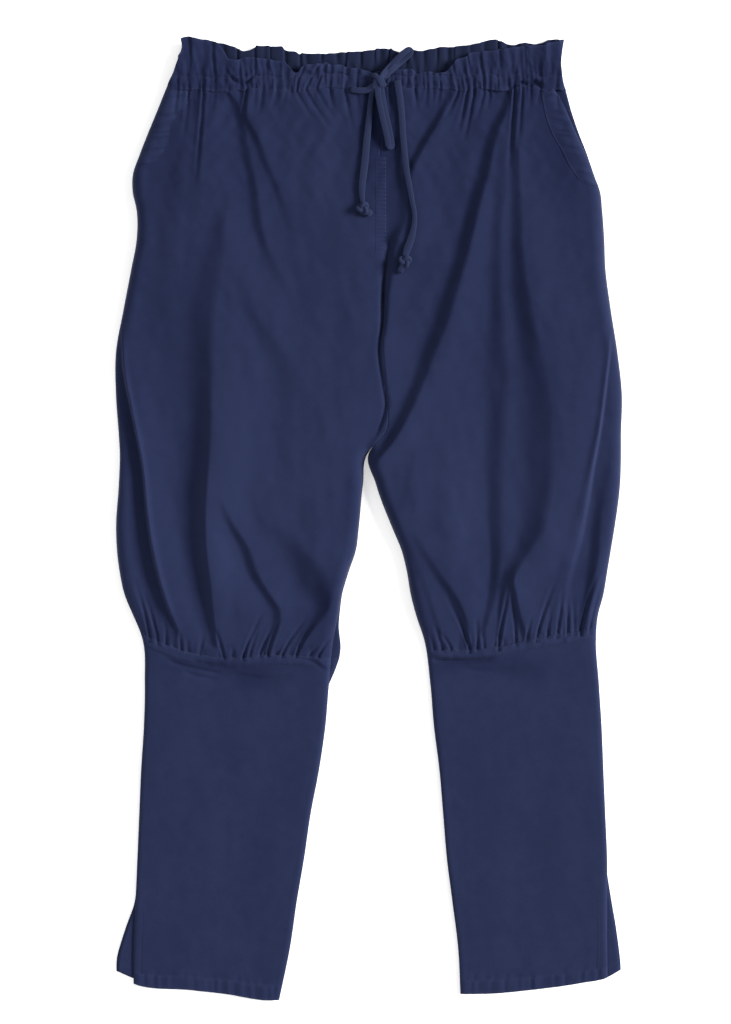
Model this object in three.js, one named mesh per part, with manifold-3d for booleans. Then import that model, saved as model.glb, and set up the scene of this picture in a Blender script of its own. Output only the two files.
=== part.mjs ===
// Gathered cloth trousers with a ruffled drawstring waist, full thighs and plain calves,
// laid flat on a surface with the front up. Units are millimetres.
// +Y runs towards the waist, +Z is up, and +X is the wearer's left. Heights h are above the hem.
import * as THREE from "three";
import { mergeVertices } from "three/addons/utils/BufferGeometryUtils.js";
import Module from "manifold-3d";

const wasm = await Module();
wasm.setup();

// Driving sizes
const OUTSEAM = 1040; // hem to the top of the ruffle
const WALL = 1.6; // one layer of cloth, with its seam allowances
const LAYER_GAP = 0.3; // between the front and the back where they lie on each other
const SEAM_GAP = 0.3; // between two pieces at a seam
const CROTCH = 592;
const WAIST_SEAM = 983;
const CASING_STITCH = 996.5; // upper stitch row of the drawstring casing
const KNEE_SEAM = 375;
const KNEE_SLANT_REACH = 150; // how far the slant of the knee seam carries into the cloth
const HEM_SLANT_REACH = 100;
const EDGE_ROUND = 26; // width of the rounded fold along an outer or inner leg edge
const FOLD_TAPER = 35; // length over which a fold fades out at its ends
const FRONT_WAIST_GATHERS = 38;
const BACK_WAIST_GATHERS = 35;
const KNEE_GATHERS = 17; // on each leg, front or back
const COLUMN_STEP = 30; // widest step between two columns of a panel
const COLUMN_LEAST = 4.5; // narrowest step between two columns of a panel
const CREASE_STEP = 1.5; // narrowest step between two columns at gathers
const EDGE_COLUMNS = [5, 13, EDGE_ROUND]; // distances of columns from a rounded outer edge
const BACK_COLUMNS = 4;
const CORD_DIAMETER = 8;
const CORD_STEP = 18;
const BOW_STEP = 5;
const CORD_SIDES = 8;
const END_KNOT = { halfHeight: 6, reach: 14, sides: 10, flatness: 0.8 };
const POCKET_BAND = { rightLow: 893, leftLow: 878, thick: 1.1, pucker: 0.7, steps: 22 };
const POCKET_BAND_INSETS = [1.5, 7, 13, 19]; // columns of the band, in from the outer edge
const FLY_BAND = { x: 12.5, low: 805, top: 911, thick: 1.2, pucker: 0.6, steps: 16 };
const FLY_BAND_COLUMNS = [-6, -2, 2, 6];
const BAND_REACH = 2.4; // a band rests on the highest cloth this near to each of its points
const GATHER_UNEVEN = { slow: 0.3, slowTurns: 3.3, quick: 0.25, quickTurns: 9.7 };
const GATHER_ROUND = 0.8; // below 1 the tops of the gathers are round and their creases sharp
const GATHER_LENGTHS = { spread: 0.4, turn: 2.4 }; // how unlike in length two gathers are
const CLOTH_COLOUR = 0x2b3251;
const TRIM_COLOUR = 0x30385c;
const HALF_LENGTH = OUTSEAM / 2;
const TAU = 2 * Math.PI;

// Names the columns of a short table.
function table(columns, rows) {
  return rows.map((row) => Object.fromEntries(columns.map((name, i) => [name, row[i]])));
}

// The leg edges and the centre front seam, seen from above, from the hem up.
const OUTLINE = table(
  ["h", "rightOuter", "rightInner", "leftInner", "leftOuter"],
  [
    [0, -254, -97, 99, 258],
    [58, -254, -85, 96, 257],
    [106, -252, -78, 90, 257],
    [153, -250, -70, 84, 257],
    [201, -248, -63, 80, 255],
    [248, -246, -54, 76, 253],
    [296, -243, -47, 70, 251],
    [343, -242, -43, 66, 248],
    [391, -245, -38, 59, 245],
    [415, -255, -33, 51, 247],
    [438, -264, -29, 45, 253],
    [462, -269, -22, 41, 257],
    [486, -272, -14, 35, 261],
    [510, -273, -11, 25, 265],
    [557, -270, -6.5, 7.5, 271],
    [CROTCH, -269, -0.5, 0.5, 272],
    [610, -270, 16, 16, 272],
    [652, -273, 18, 18, 273],
    [700, -273, 15, 15, 268],
    [745, -265, 14, 14, 261],
    [792, -256, 19, 19, 255],
    [819, -251, 13, 13, 254],
    [854, -251, 12, 12, 251.5],
    [872, -255, 12, 12, 249.5],
    [890, -255, 12, 12, 243],
    [914, -247, 12, 12, 235],
    [937, -238, 13, 13, 226],
    [961, -228, 14, 14, 218],
    [WAIST_SEAM, -219, 14, 14, 212],
    [990, -216, 14, 14, 209.5],
    [1000, -211, 14, 14, 208],
    [1012, -207, 14, 14, 207],
    [1022, -202, 14, 14, 208],
    [OUTSEAM, -202, 14, 14, 211],
  ],
);

// How far the back shows past the front: below the side slits and at the inner knee.
const BACK_SHOWS = table(
  ["h", "rightOuter", "rightInner", "leftOuter"],
  [
    [0, 18, 0, 14],
    [35, 18, 0, 14],
    [58, 14, 0, 12],
    [82, 8, 0, 9],
    [106, 1, 0, 5],
    [130, 0, 0, 1],
    [360, 0, 0, 0],
    [381, 0, 6, 0],
    [405, 0, 9, 0],
    [430, 0, 2, 0],
    [455, 0, 0, 0],
  ],
);

// The slanted knee seams and hems across each leg.
const CROSS_SEAMS = table(
  ["x", "knee", "hem"],
  [
    [-272, 402, 26],
    [-254, 398, 18],
    [-191, 375, 11],
    [-155, 370, 7],
    [-105, 373, 0],
    [-96, 373, 0.5],
    [-38, 370, 3],
    [59, 378, 7],
    [99, 378.5, 7],
    [134, 382, 7.5],
    [172, 390, 11],
    [230, 400, 19],
    [258, 403, 25],
    [272, 404, 33],
  ],
);

// The ruffle's top edge across the waist, front and back.
const RUFFLE_FRONT = table(
  ["x", "top"],
  [
    [-204, 1036],
    [-198, OUTSEAM],
    [-176, 1035],
    [-164, 1034],
    [-156, 1025],
    [-150, 1014],
    [-123, 1017],
    [-84, 1012],
    [-77, 1002],
    [-71, 1000],
    [-66, 1010],
    [-40, 1009],
    [-6, 1002],
    [11, 998.8],
    [30, 1003],
    [51, 1005.5],
    [54, 999.5],
    [84, 999.5],
    [98, 1015],
    [111, 1022],
    [152, 1027],
    [190, 1031],
    [206, 1035.5],
    [211, 1034],
  ],
);
const RUFFLE_BACK = table(
  ["x", "top"],
  [
    [-204, 1034],
    [-164, 1034.5],
    [-142, 1026],
    [-132, 1023],
    [-124, 1030],
    [-97, 1029],
    [-78, 1022],
    [-42, 1021],
    [-10, 1024],
    [14, 1027],
    [26, 1026],
    [35, 1022.5],
    [46, 1027.5],
    [55, 1023],
    [71, 1028],
    [93, 1028.5],
    [111, 1032],
    [133, 1036.5],
    [144, 1034],
    [154, 1030],
    [165, 1034],
    [176, 1031],
    [190, 1036],
    [211, 1037],
  ],
);

// Fullness of the cloth up the garment: how high the front stands off the back, and the depths
// of the gathers that cut into it at the waist and at the knee.
const FULLNESS = table(
  ["h", "front", "waistFront", "waistBack", "kneeFront", "kneeBack"],
  [
    [0, 0.6, 0, 0, 0, 0],
    [60, 1.4, 0, 0, 0, 0],
    [200, 2.2, 0, 0, 0, 0],
    [340, 3, 0, 0, 0, 0],
    [362, 3.6, 0, 0, 0.9, 0.4],
    [KNEE_SEAM, 4.4, 0, 0, 3, 1.4],
    [388, 7, 0, 0, 2.6, 1.1],
    [404, 9.5, 0, 0, 1.3, 0.3],
    [428, 12, 0, 0, 0.2, 0],
    [520, 14, 0, 0, 0, 0],
    [640, 13, 0, 0, 0, 0],
    [780, 13, 0, 0, 0, 0],
    [880, 11.5, 0, 0, 0, 0],
    [935, 9.5, 0.6, 0.3, 0, 0],
    [960, 7, 2, 1.4, 0, 0],
    [WAIST_SEAM, 4.6, 3, 2.6, 0, 0],
    [990, 6, 3, 2.6, 0, 0],
    [CASING_STITCH, 3.8, 3, 2.6, 0, 0],
    [1008, 5, 4.2, 4, 0, 0],
    [OUTSEAM, 5.5, 4.6, 4.4, 0, 0],
  ],
);

// The largest folds of the front, one a row: its line through three points, its depth, and its
// width on the side of -X (before) and of +X (after). A wide side is a soft slope.
const FOLDS = table(
  ["topH", "topX", "midH", "midX", "lowH", "lowX", "depth", "before", "after"],
  [
    [880, -153, 640, -185, 385, -167, 9, 18, 6],
    [990, -160, 886, -126, 751, -83, 5, 7, 6],
    [985, -134, 902, -112, 824, -80, 4, 5, 5],
    [799, -138, 729, -121, 626, -83, 3, 11, 9],
    [990, -183, 896, -186, 826, -191, 3, 7, 5],
    [967, -204, 842, -210, 691, -219, 3, 15, 11],
    [738, -268, 572, -244, 400, -207, 8, 30, 5],
    [543, -161, 441, -112, 395, -103, 6, 7, 6],
    [516, -102, 443, -55, 400, -60, 6, 10, 8],
    [985, 151, 800, 98, 588, 10, 8, 8, 7],
    [975, 86, 900, 46, 821, 27, 6, 6, 5],
    [961, 111, 859, 90, 707, 33, 3, 13, 11],
    [940, 143, 700, 140, 400, 123, 4.5, 8, 8],
    [977, 160, 850, 160, 740, 170, 5, 7, 6],
    [770, 165, 600, 191, 455, 152, 7.5, 17, 7],
    [490, 166, 435, 145, 390, 141, 6, 7, 6],
    [473, 156, 440, 156, 388, 168, 5, 5, 5],
    [718, 261, 572, 241, 405, 212, 6, 8, 28],
    [540, 264, 481, 251, 403, 229, 4.5, 5, 4],
    [508, 46, 462, 72, 388, 106, 5, 7, 6],
    [830, 22, 745, 14, 640, 20, 10, 6, 6],
    [684, 16, 620, 19, 585, -1, 7, 5, 6],
  ],
);

// The heights at which a panel has a row of points.
const THIGH_ROWS = [
  388, 404, 428, 458, 492, 526, 560, CROTCH, 628, 664, 700, 740, 780, 820, 860, 898, 935, 958, 972,
];
const BACK_THIGH_ROWS = [
  388, 404, 428, 458, 492, 557, CROTCH, 628, 652, 700, 745, 792, 819, 854, 890, 935, 960,
];
const CALF_ROWS = [0, 40, 80, 110, 150, 200, 250, 300, 335, 360];
const DENSE_AT_WAIST = 950; // rows above this have a column at each gather
const DENSE_AT_KNEE = 30; // rows this near the knee seam have a column at each gather

// Lengthwise routes of the drawstring over the front.
const KNOT = { x: 10.5, h: 991, alongX: 6.5, alongY: 5.5, alongZ: 4.5 };
const TIE_END_RIGHT = table(
  ["x", "h"],
  [
    [2.4, 976],
    [1.4, 966],
    [0, 951.5],
    [-2.6, 920],
    [-4.9, 898.5],
    [-7.6, 876],
    [-6.6, 861],
  ],
);
const TIE_END_LEFT = table(
  ["x", "h"],
  [
    [31, 992],
    [32.4, 977.5],
    [34.6, 961],
    [36.7, 929],
    [41, 891],
    [46, 862],
    [49, 842],
    [45.5, 823],
    [38.5, 804],
  ],
);
const BOW_STRANDS = table(
  ["part", "x", "h", "tipX", "tipH", "spacing", "radius"],
  [
    ["upper loop", 12, 994, 36, 1020, 5.8, 2.7],
    ["lower loop", 11, 987, 21.5, 922, 4.8, 2.2],
  ],
);
const FEED = { x: -18, h: 981.5, radius: 2.8 };

const RIGHT = { outer: "rightOuter", inner: "rightInner", seam: -SEAM_GAP / 2 };
const LEFT = { outer: "leftOuter", inner: "leftInner", seam: SEAM_GAP / 2 };

// Linear value of one column of a table, by another column that rises from row to row.
function valueAt(rows, by, column, at) {
  if (at <= rows[0][by]) return rows[0][column];
  for (let i = 1; i < rows.length; i++) {
    const a = rows[i - 1];
    const b = rows[i];
    if (at <= b[by]) return THREE.MathUtils.mapLinear(at, a[by], b[by], a[column], b[column]);
  }
  return rows[rows.length - 1][column];
}

const outline = (edge, h) => valueAt(OUTLINE, "h", edge, h);
const fullness = (column, h) => valueAt(FULLNESS, "h", column, h);
const fade = (t) => Math.max(0, 1 - t);
const rounded = (t) => (t >= 1 ? 1 : t * (2 - t));

// The height of a point of the row h0 at x: the knee seam and the hem slant across the leg.
function levelAt(x, h0) {
  const knee = valueAt(CROSS_SEAMS, "x", "knee", x) - KNEE_SEAM;
  const hem = valueAt(CROSS_SEAMS, "x", "hem", x);
  const kneeShare = fade(Math.abs(h0 - KNEE_SEAM) / KNEE_SLANT_REACH);
  return h0 + knee * kneeShare + hem * fade(h0 / HEM_SLANT_REACH);
}

// How many gathers lie before the place u, from 0 to 1 across the cloth. They are uneven.
function gathersBefore(u, count) {
  const slowTurn = TAU * GATHER_UNEVEN.slowTurns;
  const quickTurn = TAU * GATHER_UNEVEN.quickTurns;
  const slow = (GATHER_UNEVEN.slow * Math.sin(slowTurn * u + 1)) / slowTurn;
  const quick = (GATHER_UNEVEN.quick * Math.sin(quickTurn * u)) / quickTurn;
  return count * (u + slow + quick);
}

// From 0 in the crease between two gathers to 1 on the rounded top of one.
function gatherWave(u, count) {
  return Math.pow(Math.abs(Math.sin(Math.PI * gathersBefore(u, count))), GATHER_ROUND);
}

// The places u with a crease, and with the given number of points from one crease to the next.
function gatherPlaces(count, pointsEach) {
  const places = [];
  const last = gathersBefore(1, count);
  for (let k = Math.ceil(gathersBefore(0, count) * pointsEach); k / pointsEach < last; k++) {
    let low = 0;
    let high = 1;
    for (let halving = 0; halving < 30; halving++) {
      const middle = (low + high) / 2;
      if (gathersBefore(middle, count) * pointsEach < k) low = middle;
      else high = middle;
    }
    places.push(low);
  }
  return places;
}

// Gathers reach different lengths into the panel, so each reads the fullness table at its own pace.
function gatherDepth(column, from, h, u, count) {
  const which = Math.floor(gathersBefore(u, count));
  const pace = 1 + GATHER_LENGTHS.spread * Math.sin(GATHER_LENGTHS.turn * which);
  const at = h > WAIST_SEAM ? h : from + (h - from) / pace;
  return fullness(column, at) * (1 - gatherWave(u, count));
}

const waistPlace = (x, h) =>
  (x - outline("rightOuter", h)) / (outline("leftOuter", h) - outline("rightOuter", h));
const legPlace = (leg, x, h) =>
  THREE.MathUtils.clamp(
    (x - outline(leg.inner, h)) / (outline(leg.outer, h) - outline(leg.inner, h)),
    0,
    1,
  );

// The line of a fold at height h, as a parabola through its three points.
function foldX(fold, h) {
  const { topH, midH, lowH } = fold;
  const top = (fold.topX * (h - midH) * (h - lowH)) / ((topH - midH) * (topH - lowH));
  const middle = (fold.midX * (h - topH) * (h - lowH)) / ((midH - topH) * (midH - lowH));
  const low = (fold.lowX * (h - topH) * (h - midH)) / ((lowH - topH) * (lowH - midH));
  return top + middle + low;
}

function foldDepth(fold, x, h) {
  if (h <= fold.lowH || h >= fold.topH) return 0;
  const across = x - foldX(fold, h);
  const width = across < 0 ? fold.before : fold.after;
  const taper = Math.min(1, (h - fold.lowH) / FOLD_TAPER, (fold.topH - h) / FOLD_TAPER);
  return fold.depth * taper * Math.exp(-((across / width) ** 2));
}

// Height of the back's lower face above the surface: 0 but for the gathers.
function backFloor(leg, x, h0) {
  const u = waistPlace(x, h0);
  const waist = fullness("waistBack", h0) * gatherWave(u, BACK_WAIST_GATHERS);
  const knee = fullness("kneeBack", h0) * gatherWave(legPlace(leg, x, h0), KNEE_GATHERS);
  return waist + knee;
}

// Height of the front's lower face. It rests on the highest gathers of the back.
function frontFloor(leg, x, h0) {
  const h = levelAt(x, h0);
  const aboveCrotch = Math.max(0, h - CROTCH);
  const outerEdge = Math.abs(x - outline(leg.outer, h));
  const innerEdge = Math.hypot(x - outline(leg.inner, Math.min(h, CROTCH)), aboveCrotch);
  const edges = rounded(outerEdge / EDGE_ROUND) * rounded(innerEdge / EDGE_ROUND);
  const uWaist = waistPlace(x, h0);
  const uLeg = legPlace(leg, x, h0);
  let lift = fullness("front", h0) * edges;
  for (const fold of FOLDS) lift -= foldDepth(fold, x, h) * edges;
  lift -= gatherDepth("waistFront", WAIST_SEAM, h0, uWaist, FRONT_WAIST_GATHERS) * edges;
  lift -= gatherDepth("kneeFront", KNEE_SEAM, h0, uLeg, KNEE_GATHERS) * edges;
  const back = WALL + fullness("waistBack", h0) + fullness("kneeBack", h0);
  return back + LAYER_GAP + Math.max(0, lift);
}

// Joins two rows of points, which may differ in number, with triangles that face up.
function zip(below, above, face) {
  const share = (row, i) => (row[i].x - row[0].x) / (row[row.length - 1].x - row[0].x);
  let i = 0;
  let j = 0;
  while (i < below.length - 1 || j < above.length - 1) {
    const canStepBelow = i < below.length - 1;
    const canStepAbove = j < above.length - 1;
    const stepBelow =
      canStepBelow && (!canStepAbove || share(below, i + 1) <= share(above, j + 1));
    if (stepBelow) {
      face(below[i], below[i + 1], above[j]);
      i++;
    } else {
      face(below[i], above[j + 1], above[j]);
      j++;
    }
  }
}

// A closed wall of cloth through rows of points {x, y, z, thick}, z on its lower face.
function wall(rows) {
  const positions = [];
  const upper = [];
  const push = (p, raise) => positions.push(p.x, p.y, p.z + raise * (p.thick ?? WALL));
  for (let r = 1; r < rows.length; r++)
    zip(rows[r - 1], rows[r], (a, b, c) => {
      for (const p of [a, b, c]) push(p, 1);
      for (const p of [a, c, b]) push(p, 0);
      upper.push([a, b, c]);
    });
  const rim = [
    ...rows[0],
    ...rows.slice(1).map((row) => row[row.length - 1]),
    ...rows[rows.length - 1].slice(0, -1).reverse(),
    ...rows.slice(1, -1).reverse().map((row) => row[0]),
  ];
  rim.forEach((p, i) => {
    const q = rim[(i + 1) % rim.length];
    const [low, lowNext, high, highNext] = [[p, 0], [q, 0], [p, 1], [q, 1]];
    for (const corner of [low, lowNext, highNext, low, highNext, high]) push(...corner);
  });
  const geometry = new THREE.BufferGeometry();
  geometry.setAttribute("position", new THREE.Float32BufferAttribute(positions, 3));
  geometry.computeVertexNormals();
  return { geometry, upper };
}

// Keeps the sorted places that are at least the given step apart; the first ones listed win.
function spread(wanted, least) {
  const kept = [];
  for (const x of wanted) if (kept.every((k) => Math.abs(k - x) >= least)) kept.push(x);
  return kept.sort((a, b) => a - b);
}

// The x of each column in one row of a front panel: its edges, its folds, and an even filling.
function frontColumns(low, high, outerX, h) {
  const wanted = [low, high];
  for (const fold of FOLDS)
    if (h > fold.lowH && h < fold.topH) {
      const x = foldX(fold, h);
      wanted.push(x, x - fold.before, x + fold.after);
    }
  const inwards = outerX === low ? 1 : -1;
  for (const step of EDGE_COLUMNS) wanted.push(outerX + inwards * step);
  const inside = wanted.filter((x, i) => i < 2 || (x > low + 2 && x < high - 2));
  const kept = spread(inside, COLUMN_LEAST);
  const columns = [kept[0]];
  for (const x of kept.slice(1)) {
    const from = columns[columns.length - 1];
    const steps = Math.ceil((x - from) / COLUMN_STEP);
    for (let k = 1; k <= steps; k++) columns.push(from + ((x - from) * k) / steps);
  }
  return columns;
}

function backColumns(low, high, count) {
  return Array.from({ length: count + 1 }, (_, i) => low + ((high - low) * i) / count);
}

const toY = (h) => h - HALF_LENGTH;

// One row of points of a leg panel at the row height h0.
function panelRow(leg, side, h0) {
  const isBack = side === "back";
  const inward = leg === RIGHT ? 1 : -1;
  const outerH = levelAt(outline(leg.outer, h0), h0);
  const innerH = levelAt(outline(leg.inner, h0), h0);
  const shows = (column, h) => (isBack ? valueAt(BACK_SHOWS, "h", column, h) : 0);
  const outerX = outline(leg.outer, outerH) - inward * shows(leg.outer, outerH);
  const innerShows = leg === RIGHT ? shows("rightInner", innerH) : 0;
  const innerX = outline(leg.inner, innerH) + (h0 > CROTCH ? leg.seam : 0) + innerShows;
  const low = Math.min(outerX, innerX);
  const high = Math.max(outerX, innerX);
  let columns = isBack ? backColumns(low, high, BACK_COLUMNS) : frontColumns(low, high, outerX, h0);
  if (h0 > DENSE_AT_WAIST) {
    const count = isBack ? BACK_WAIST_GATHERS : FRONT_WAIST_GATHERS;
    const from = outline("rightOuter", h0);
    const width = outline("leftOuter", h0) - from;
    const places = gatherPlaces(count, 2).map((u) => from + u * width);
    columns = spread([low, high, ...places.filter((x) => x > low && x < high)], CREASE_STEP);
  } else if (Math.abs(h0 - KNEE_SEAM) < DENSE_AT_KNEE) {
    const width = outline(leg.outer, h0) - outline(leg.inner, h0);
    const places = gatherPlaces(KNEE_GATHERS, 2).map((u) => outline(leg.inner, h0) + u * width);
    columns = spread([low, high, ...places.filter((x) => x > low && x < high)], CREASE_STEP);
  }
  const floor = isBack ? backFloor : frontFloor;
  return columns.map((x) => ({ x, y: toY(levelAt(x, h0)), z: floor(leg, x, h0) }));
}

function legPanel(leg, side, heights) {
  return wall(heights.map((h0) => panelRow(leg, side, h0)));
}

function thighPanel(leg, side) {
  const between = side === "back" ? BACK_THIGH_ROWS : THIGH_ROWS;
  const ends = [KNEE_SEAM + SEAM_GAP / 2, WAIST_SEAM - SEAM_GAP / 2];
  return legPanel(leg, side, [ends[0], ...between, ends[1]]);
}

const calfPanel = (leg, side) => legPanel(leg, side, [...CALF_ROWS, KNEE_SEAM - SEAM_GAP / 2]);

// Half of the waistband: a casing with a ruffled heading above its stitch row.
function waistband(side) {
  const isBack = side === "back";
  const ruffle = isBack ? RUFFLE_BACK : RUFFLE_FRONT;
  const floor = isBack ? backFloor : frontFloor;
  const count = isBack ? BACK_WAIST_GATHERS : FRONT_WAIST_GATHERS;
  const places = [0, ...spread(gatherPlaces(count, isBack ? 3 : 4), 0.004).slice(1, -1), 1];
  const pointAt = (u, h) => {
    const x = THREE.MathUtils.lerp(outline("rightOuter", h), outline("leftOuter", h), u);
    return { x, y: toY(h), z: floor(x < outline("leftInner", h) ? RIGHT : LEFT, x, h) };
  };
  const straight = [WAIST_SEAM + SEAM_GAP / 2, 990, CASING_STITCH].map((h) =>
    places.map((u) => pointAt(u, h)),
  );
  const heading = [0.5, 1].map((share) =>
    places.map((u) => {
      const x = THREE.MathUtils.lerp(outline("rightOuter", 1022), outline("leftOuter", 1022), u);
      const top = valueAt(ruffle, "x", "top", x);
      return pointAt(u, THREE.MathUtils.lerp(CASING_STITCH, top, share));
    }),
  );
  return wall([...straight, ...heading]);
}

// The height of the upper face of a wall at x, y, or nothing where the wall isn't.
function topOf({ upper }, x, y) {
  let top = -Infinity;
  for (const [a, b, c] of upper) {
    if (x < Math.min(a.x, b.x, c.x) || x > Math.max(a.x, b.x, c.x)) continue;
    const area = (b.x - a.x) * (c.y - a.y) - (c.x - a.x) * (b.y - a.y);
    const s = ((x - a.x) * (c.y - a.y) - (c.x - a.x) * (y - a.y)) / area;
    const t = ((b.x - a.x) * (y - a.y) - (x - a.x) * (b.y - a.y)) / area;
    if (s < -1e-6 || t < -1e-6 || s + t > 1 + 1e-6) continue;
    top = Math.max(top, a.z + s * (b.z - a.z) + t * (c.z - a.z) + WALL);
  }
  return top;
}

// The highest that any of the walls reaches within the given reach of x, y.
function restAt(walls, x, y, reach) {
  let top = -Infinity;
  for (const stepX of [-1, -0.5, 0, 0.5, 1])
    for (const stepY of [-1, -0.5, 0, 0.5, 1])
      for (const w of walls) top = Math.max(top, topOf(w, x + stepX * reach, y + stepY * reach));
  return top;
}

// A band that lies on a panel: rows of points moved out from the panel's own face.
function bandOn(panel, heights, places, xAt, { thick, pucker }) {
  const rows = heights.map((h, r) =>
    places.map((place, c) => {
      const x = xAt(h, place);
      const y = toY(h);
      const inner = c > 0 && c < places.length - 1;
      const raise = inner && r % 2 === 1 ? pucker : 0;
      return { x, y, z: restAt(panel, x, y, BAND_REACH) + LAYER_GAP, thick: thick + raise };
    }),
  );
  return wall(rows);
}

function evenSteps(from, to, count) {
  return Array.from({ length: count + 1 }, (_, i) => from + ((to - from) * i) / count);
}

// A gathered band along the mouth of a side seam pocket.
function pocketBand(leg, panel, low) {
  const inward = leg === RIGHT ? 1 : -1;
  const heights = evenSteps(low, WAIST_SEAM - 3, POCKET_BAND.steps);
  const insets = leg === RIGHT ? POCKET_BAND_INSETS : [...POCKET_BAND_INSETS].reverse();
  const xAt = (h, inset) => outline(leg.outer, h) + inward * inset;
  return bandOn([panel], heights, insets, xAt, POCKET_BAND);
}

// A solid from a closed geometry, for joining.
function solidFrom(geometry) {
  const bare = new THREE.BufferGeometry();
  bare.setAttribute("position", geometry.getAttribute("position"));
  if (geometry.index) bare.setIndex(geometry.index);
  const merged = mergeVertices(bare, 1e-4);
  const vertProperties = merged.attributes.position.array;
  const triVerts = new Uint32Array(merged.index.array);
  return new wasm.Manifold(new wasm.Mesh({ numProp: 3, vertProperties, triVerts }));
}

function geometryFrom(solid) {
  const mesh = solid.getMesh();
  const geometry = new THREE.BufferGeometry();
  geometry.setAttribute("position", new THREE.BufferAttribute(mesh.vertProperties, 3));
  geometry.setIndex(new THREE.BufferAttribute(mesh.triVerts, 1));
  geometry.computeVertexNormals();
  return geometry;
}

// A round tube along a smooth curve.
function tube(points, radius, step) {
  const curve = new THREE.CatmullRomCurve3(points, false, "centripetal");
  const section = new THREE.Shape();
  for (let i = 0; i < CORD_SIDES; i++) {
    const angle = (TAU * i) / CORD_SIDES;
    const place = [radius * Math.cos(angle), radius * Math.sin(angle)];
    if (i) section.lineTo(...place);
    else section.moveTo(...place);
  }
  section.closePath();
  return new THREE.ExtrudeGeometry(section, {
    steps: Math.max(2, Math.round(curve.getLength() / step)),
    extrudePath: curve,
    curveSegments: 1,
  });
}

// An overhand knot with the cord's short cut tail past it, along a direction in plan.
function endKnot(from, ahead) {
  const profile = table(
    ["along", "radius"],
    [
      [0, 0],
      [0, 3.2],
      [3, 5],
      [6, 6.8],
      [9, 7],
      [12, 5.6],
      [14, 4],
      [20, 4.6],
      [20, 0],
    ],
  );
  const points = profile.map((p) => new THREE.Vector2(p.radius, p.along));
  const geometry = new THREE.LatheGeometry(points, END_KNOT.sides);
  geometry.rotateZ(Math.atan2(ahead.y, ahead.x) - Math.PI / 2);
  geometry.scale(1, 1, END_KNOT.flatness);
  geometry.translate(from.x, from.y, from.z);
  return geometry;
}

// Build the cloth first: what lies on it is set from its faces.
const panels = {};
for (const [side, leg] of [["right", RIGHT], ["left", LEFT]])
  for (const face of ["back", "front"]) {
    panels["thigh_" + face + "_" + side] = thighPanel(leg, face);
    panels["calf_" + face + "_" + side] = calfPanel(leg, face);
  }
panels.waistband_back = waistband("back");
panels.waistband_front = waistband("front");

const pieces = Object.fromEntries(Object.entries(panels).map(([name, w]) => [name, w.geometry]));
const { rightLow, leftLow } = POCKET_BAND;
pieces.pocket_band_right = pocketBand(RIGHT, panels.thigh_front_right, rightLow).geometry;
pieces.pocket_band_left = pocketBand(LEFT, panels.thigh_front_left, leftLow).geometry;

// The fly's stitched band lies over the centre front seam.
const thighFronts = [panels.thigh_front_right, panels.thigh_front_left];
pieces.fly_band = bandOn(
  thighFronts,
  evenSteps(FLY_BAND.low, FLY_BAND.top, FLY_BAND.steps),
  FLY_BAND_COLUMNS,
  (h, place) => FLY_BAND.x + place,
  FLY_BAND,
).geometry;

// The drawstring lies on the front, the waistband and the fly band.
const flyHeight = LAYER_GAP + FLY_BAND.thick + FLY_BAND.pucker;
const underTie = [...thighFronts, panels.waistband_front, panels.waistband_back];
function overCloth(point, radius, reach = radius + 1.5) {
  const y = toY(point.h);
  const nearFly = Math.abs(point.x - FLY_BAND.x) < 12 && point.h < FLY_BAND.top + reach;
  const z = restAt(underTie, point.x, y, reach) + LAYER_GAP + (nearFly ? flyHeight : 0) + radius;
  return new THREE.Vector3(point.x, y, z);
}
const cordRadius = CORD_DIAMETER / 2;
function tieEnd(route) {
  const points = route.map((point) => overCloth(point, cordRadius));
  const last = points[points.length - 1];
  const before = points[points.length - 2];
  const ahead = new THREE.Vector3(last.x - before.x, last.y - before.y, 0).normalize();
  const rest = restAt(underTie, last.x, last.y, END_KNOT.reach) + LAYER_GAP + END_KNOT.halfHeight;
  last.z = Math.max(last.z, rest);
  const level = last.clone().addScaledVector(ahead, -CORD_DIAMETER);
  points.splice(points.length - 1, 0, level);
  const start = last.clone().addScaledVector(ahead, SEAM_GAP);
  return { cord: tube(points, cordRadius, CORD_STEP), knot: endKnot(start, ahead) };
}
const right = tieEnd(TIE_END_RIGHT);
const left = tieEnd(TIE_END_LEFT);
pieces.tie_end_right = right.cord;
pieces.end_knot_right = right.knot;
pieces.tie_end_left = left.cord;
pieces.end_knot_left = left.knot;

// The bow: its knot, its two loops, and the strand that comes out of the casing.
const knotRest = restAt(underTie, KNOT.x, toY(KNOT.h), KNOT.alongX) + LAYER_GAP + KNOT.alongZ;
const knot = new THREE.SphereGeometry(1, 12, 8);
knot.scale(KNOT.alongX, KNOT.alongY, KNOT.alongZ);
knot.translate(KNOT.x, toY(KNOT.h), knotRest);
let bow = solidFrom(knot);
for (const strand of BOW_STRANDS) {
  const along = new THREE.Vector2(strand.tipX - strand.x, strand.tipH - strand.h).normalize();
  const half = strand.spacing / 2;
  const at = (share, side) => ({
    x: THREE.MathUtils.lerp(strand.x, strand.tipX, share) + side * half * along.y,
    h: THREE.MathUtils.lerp(strand.h, strand.tipH, share) - side * half * along.x,
  });
  const tip = { x: strand.tipX + along.x * half, h: strand.tipH + along.y * half };
  const route = [at(0.5, -1), at(1, -1), tip, at(1, 1), at(0.5, 1)];
  const over = route.map((point) => overCloth(point, strand.radius, strand.radius + 4));
  const root = (side) => new THREE.Vector3(at(0, side).x, toY(at(0, side).h), knotRest);
  bow = bow.add(solidFrom(tube([root(-1), ...over, root(1)], strand.radius, BOW_STEP)));
}
const feedMiddle = overCloth({ x: (FEED.x + KNOT.x) / 2 - 2, h: FEED.h + 1 }, FEED.radius);
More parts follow.
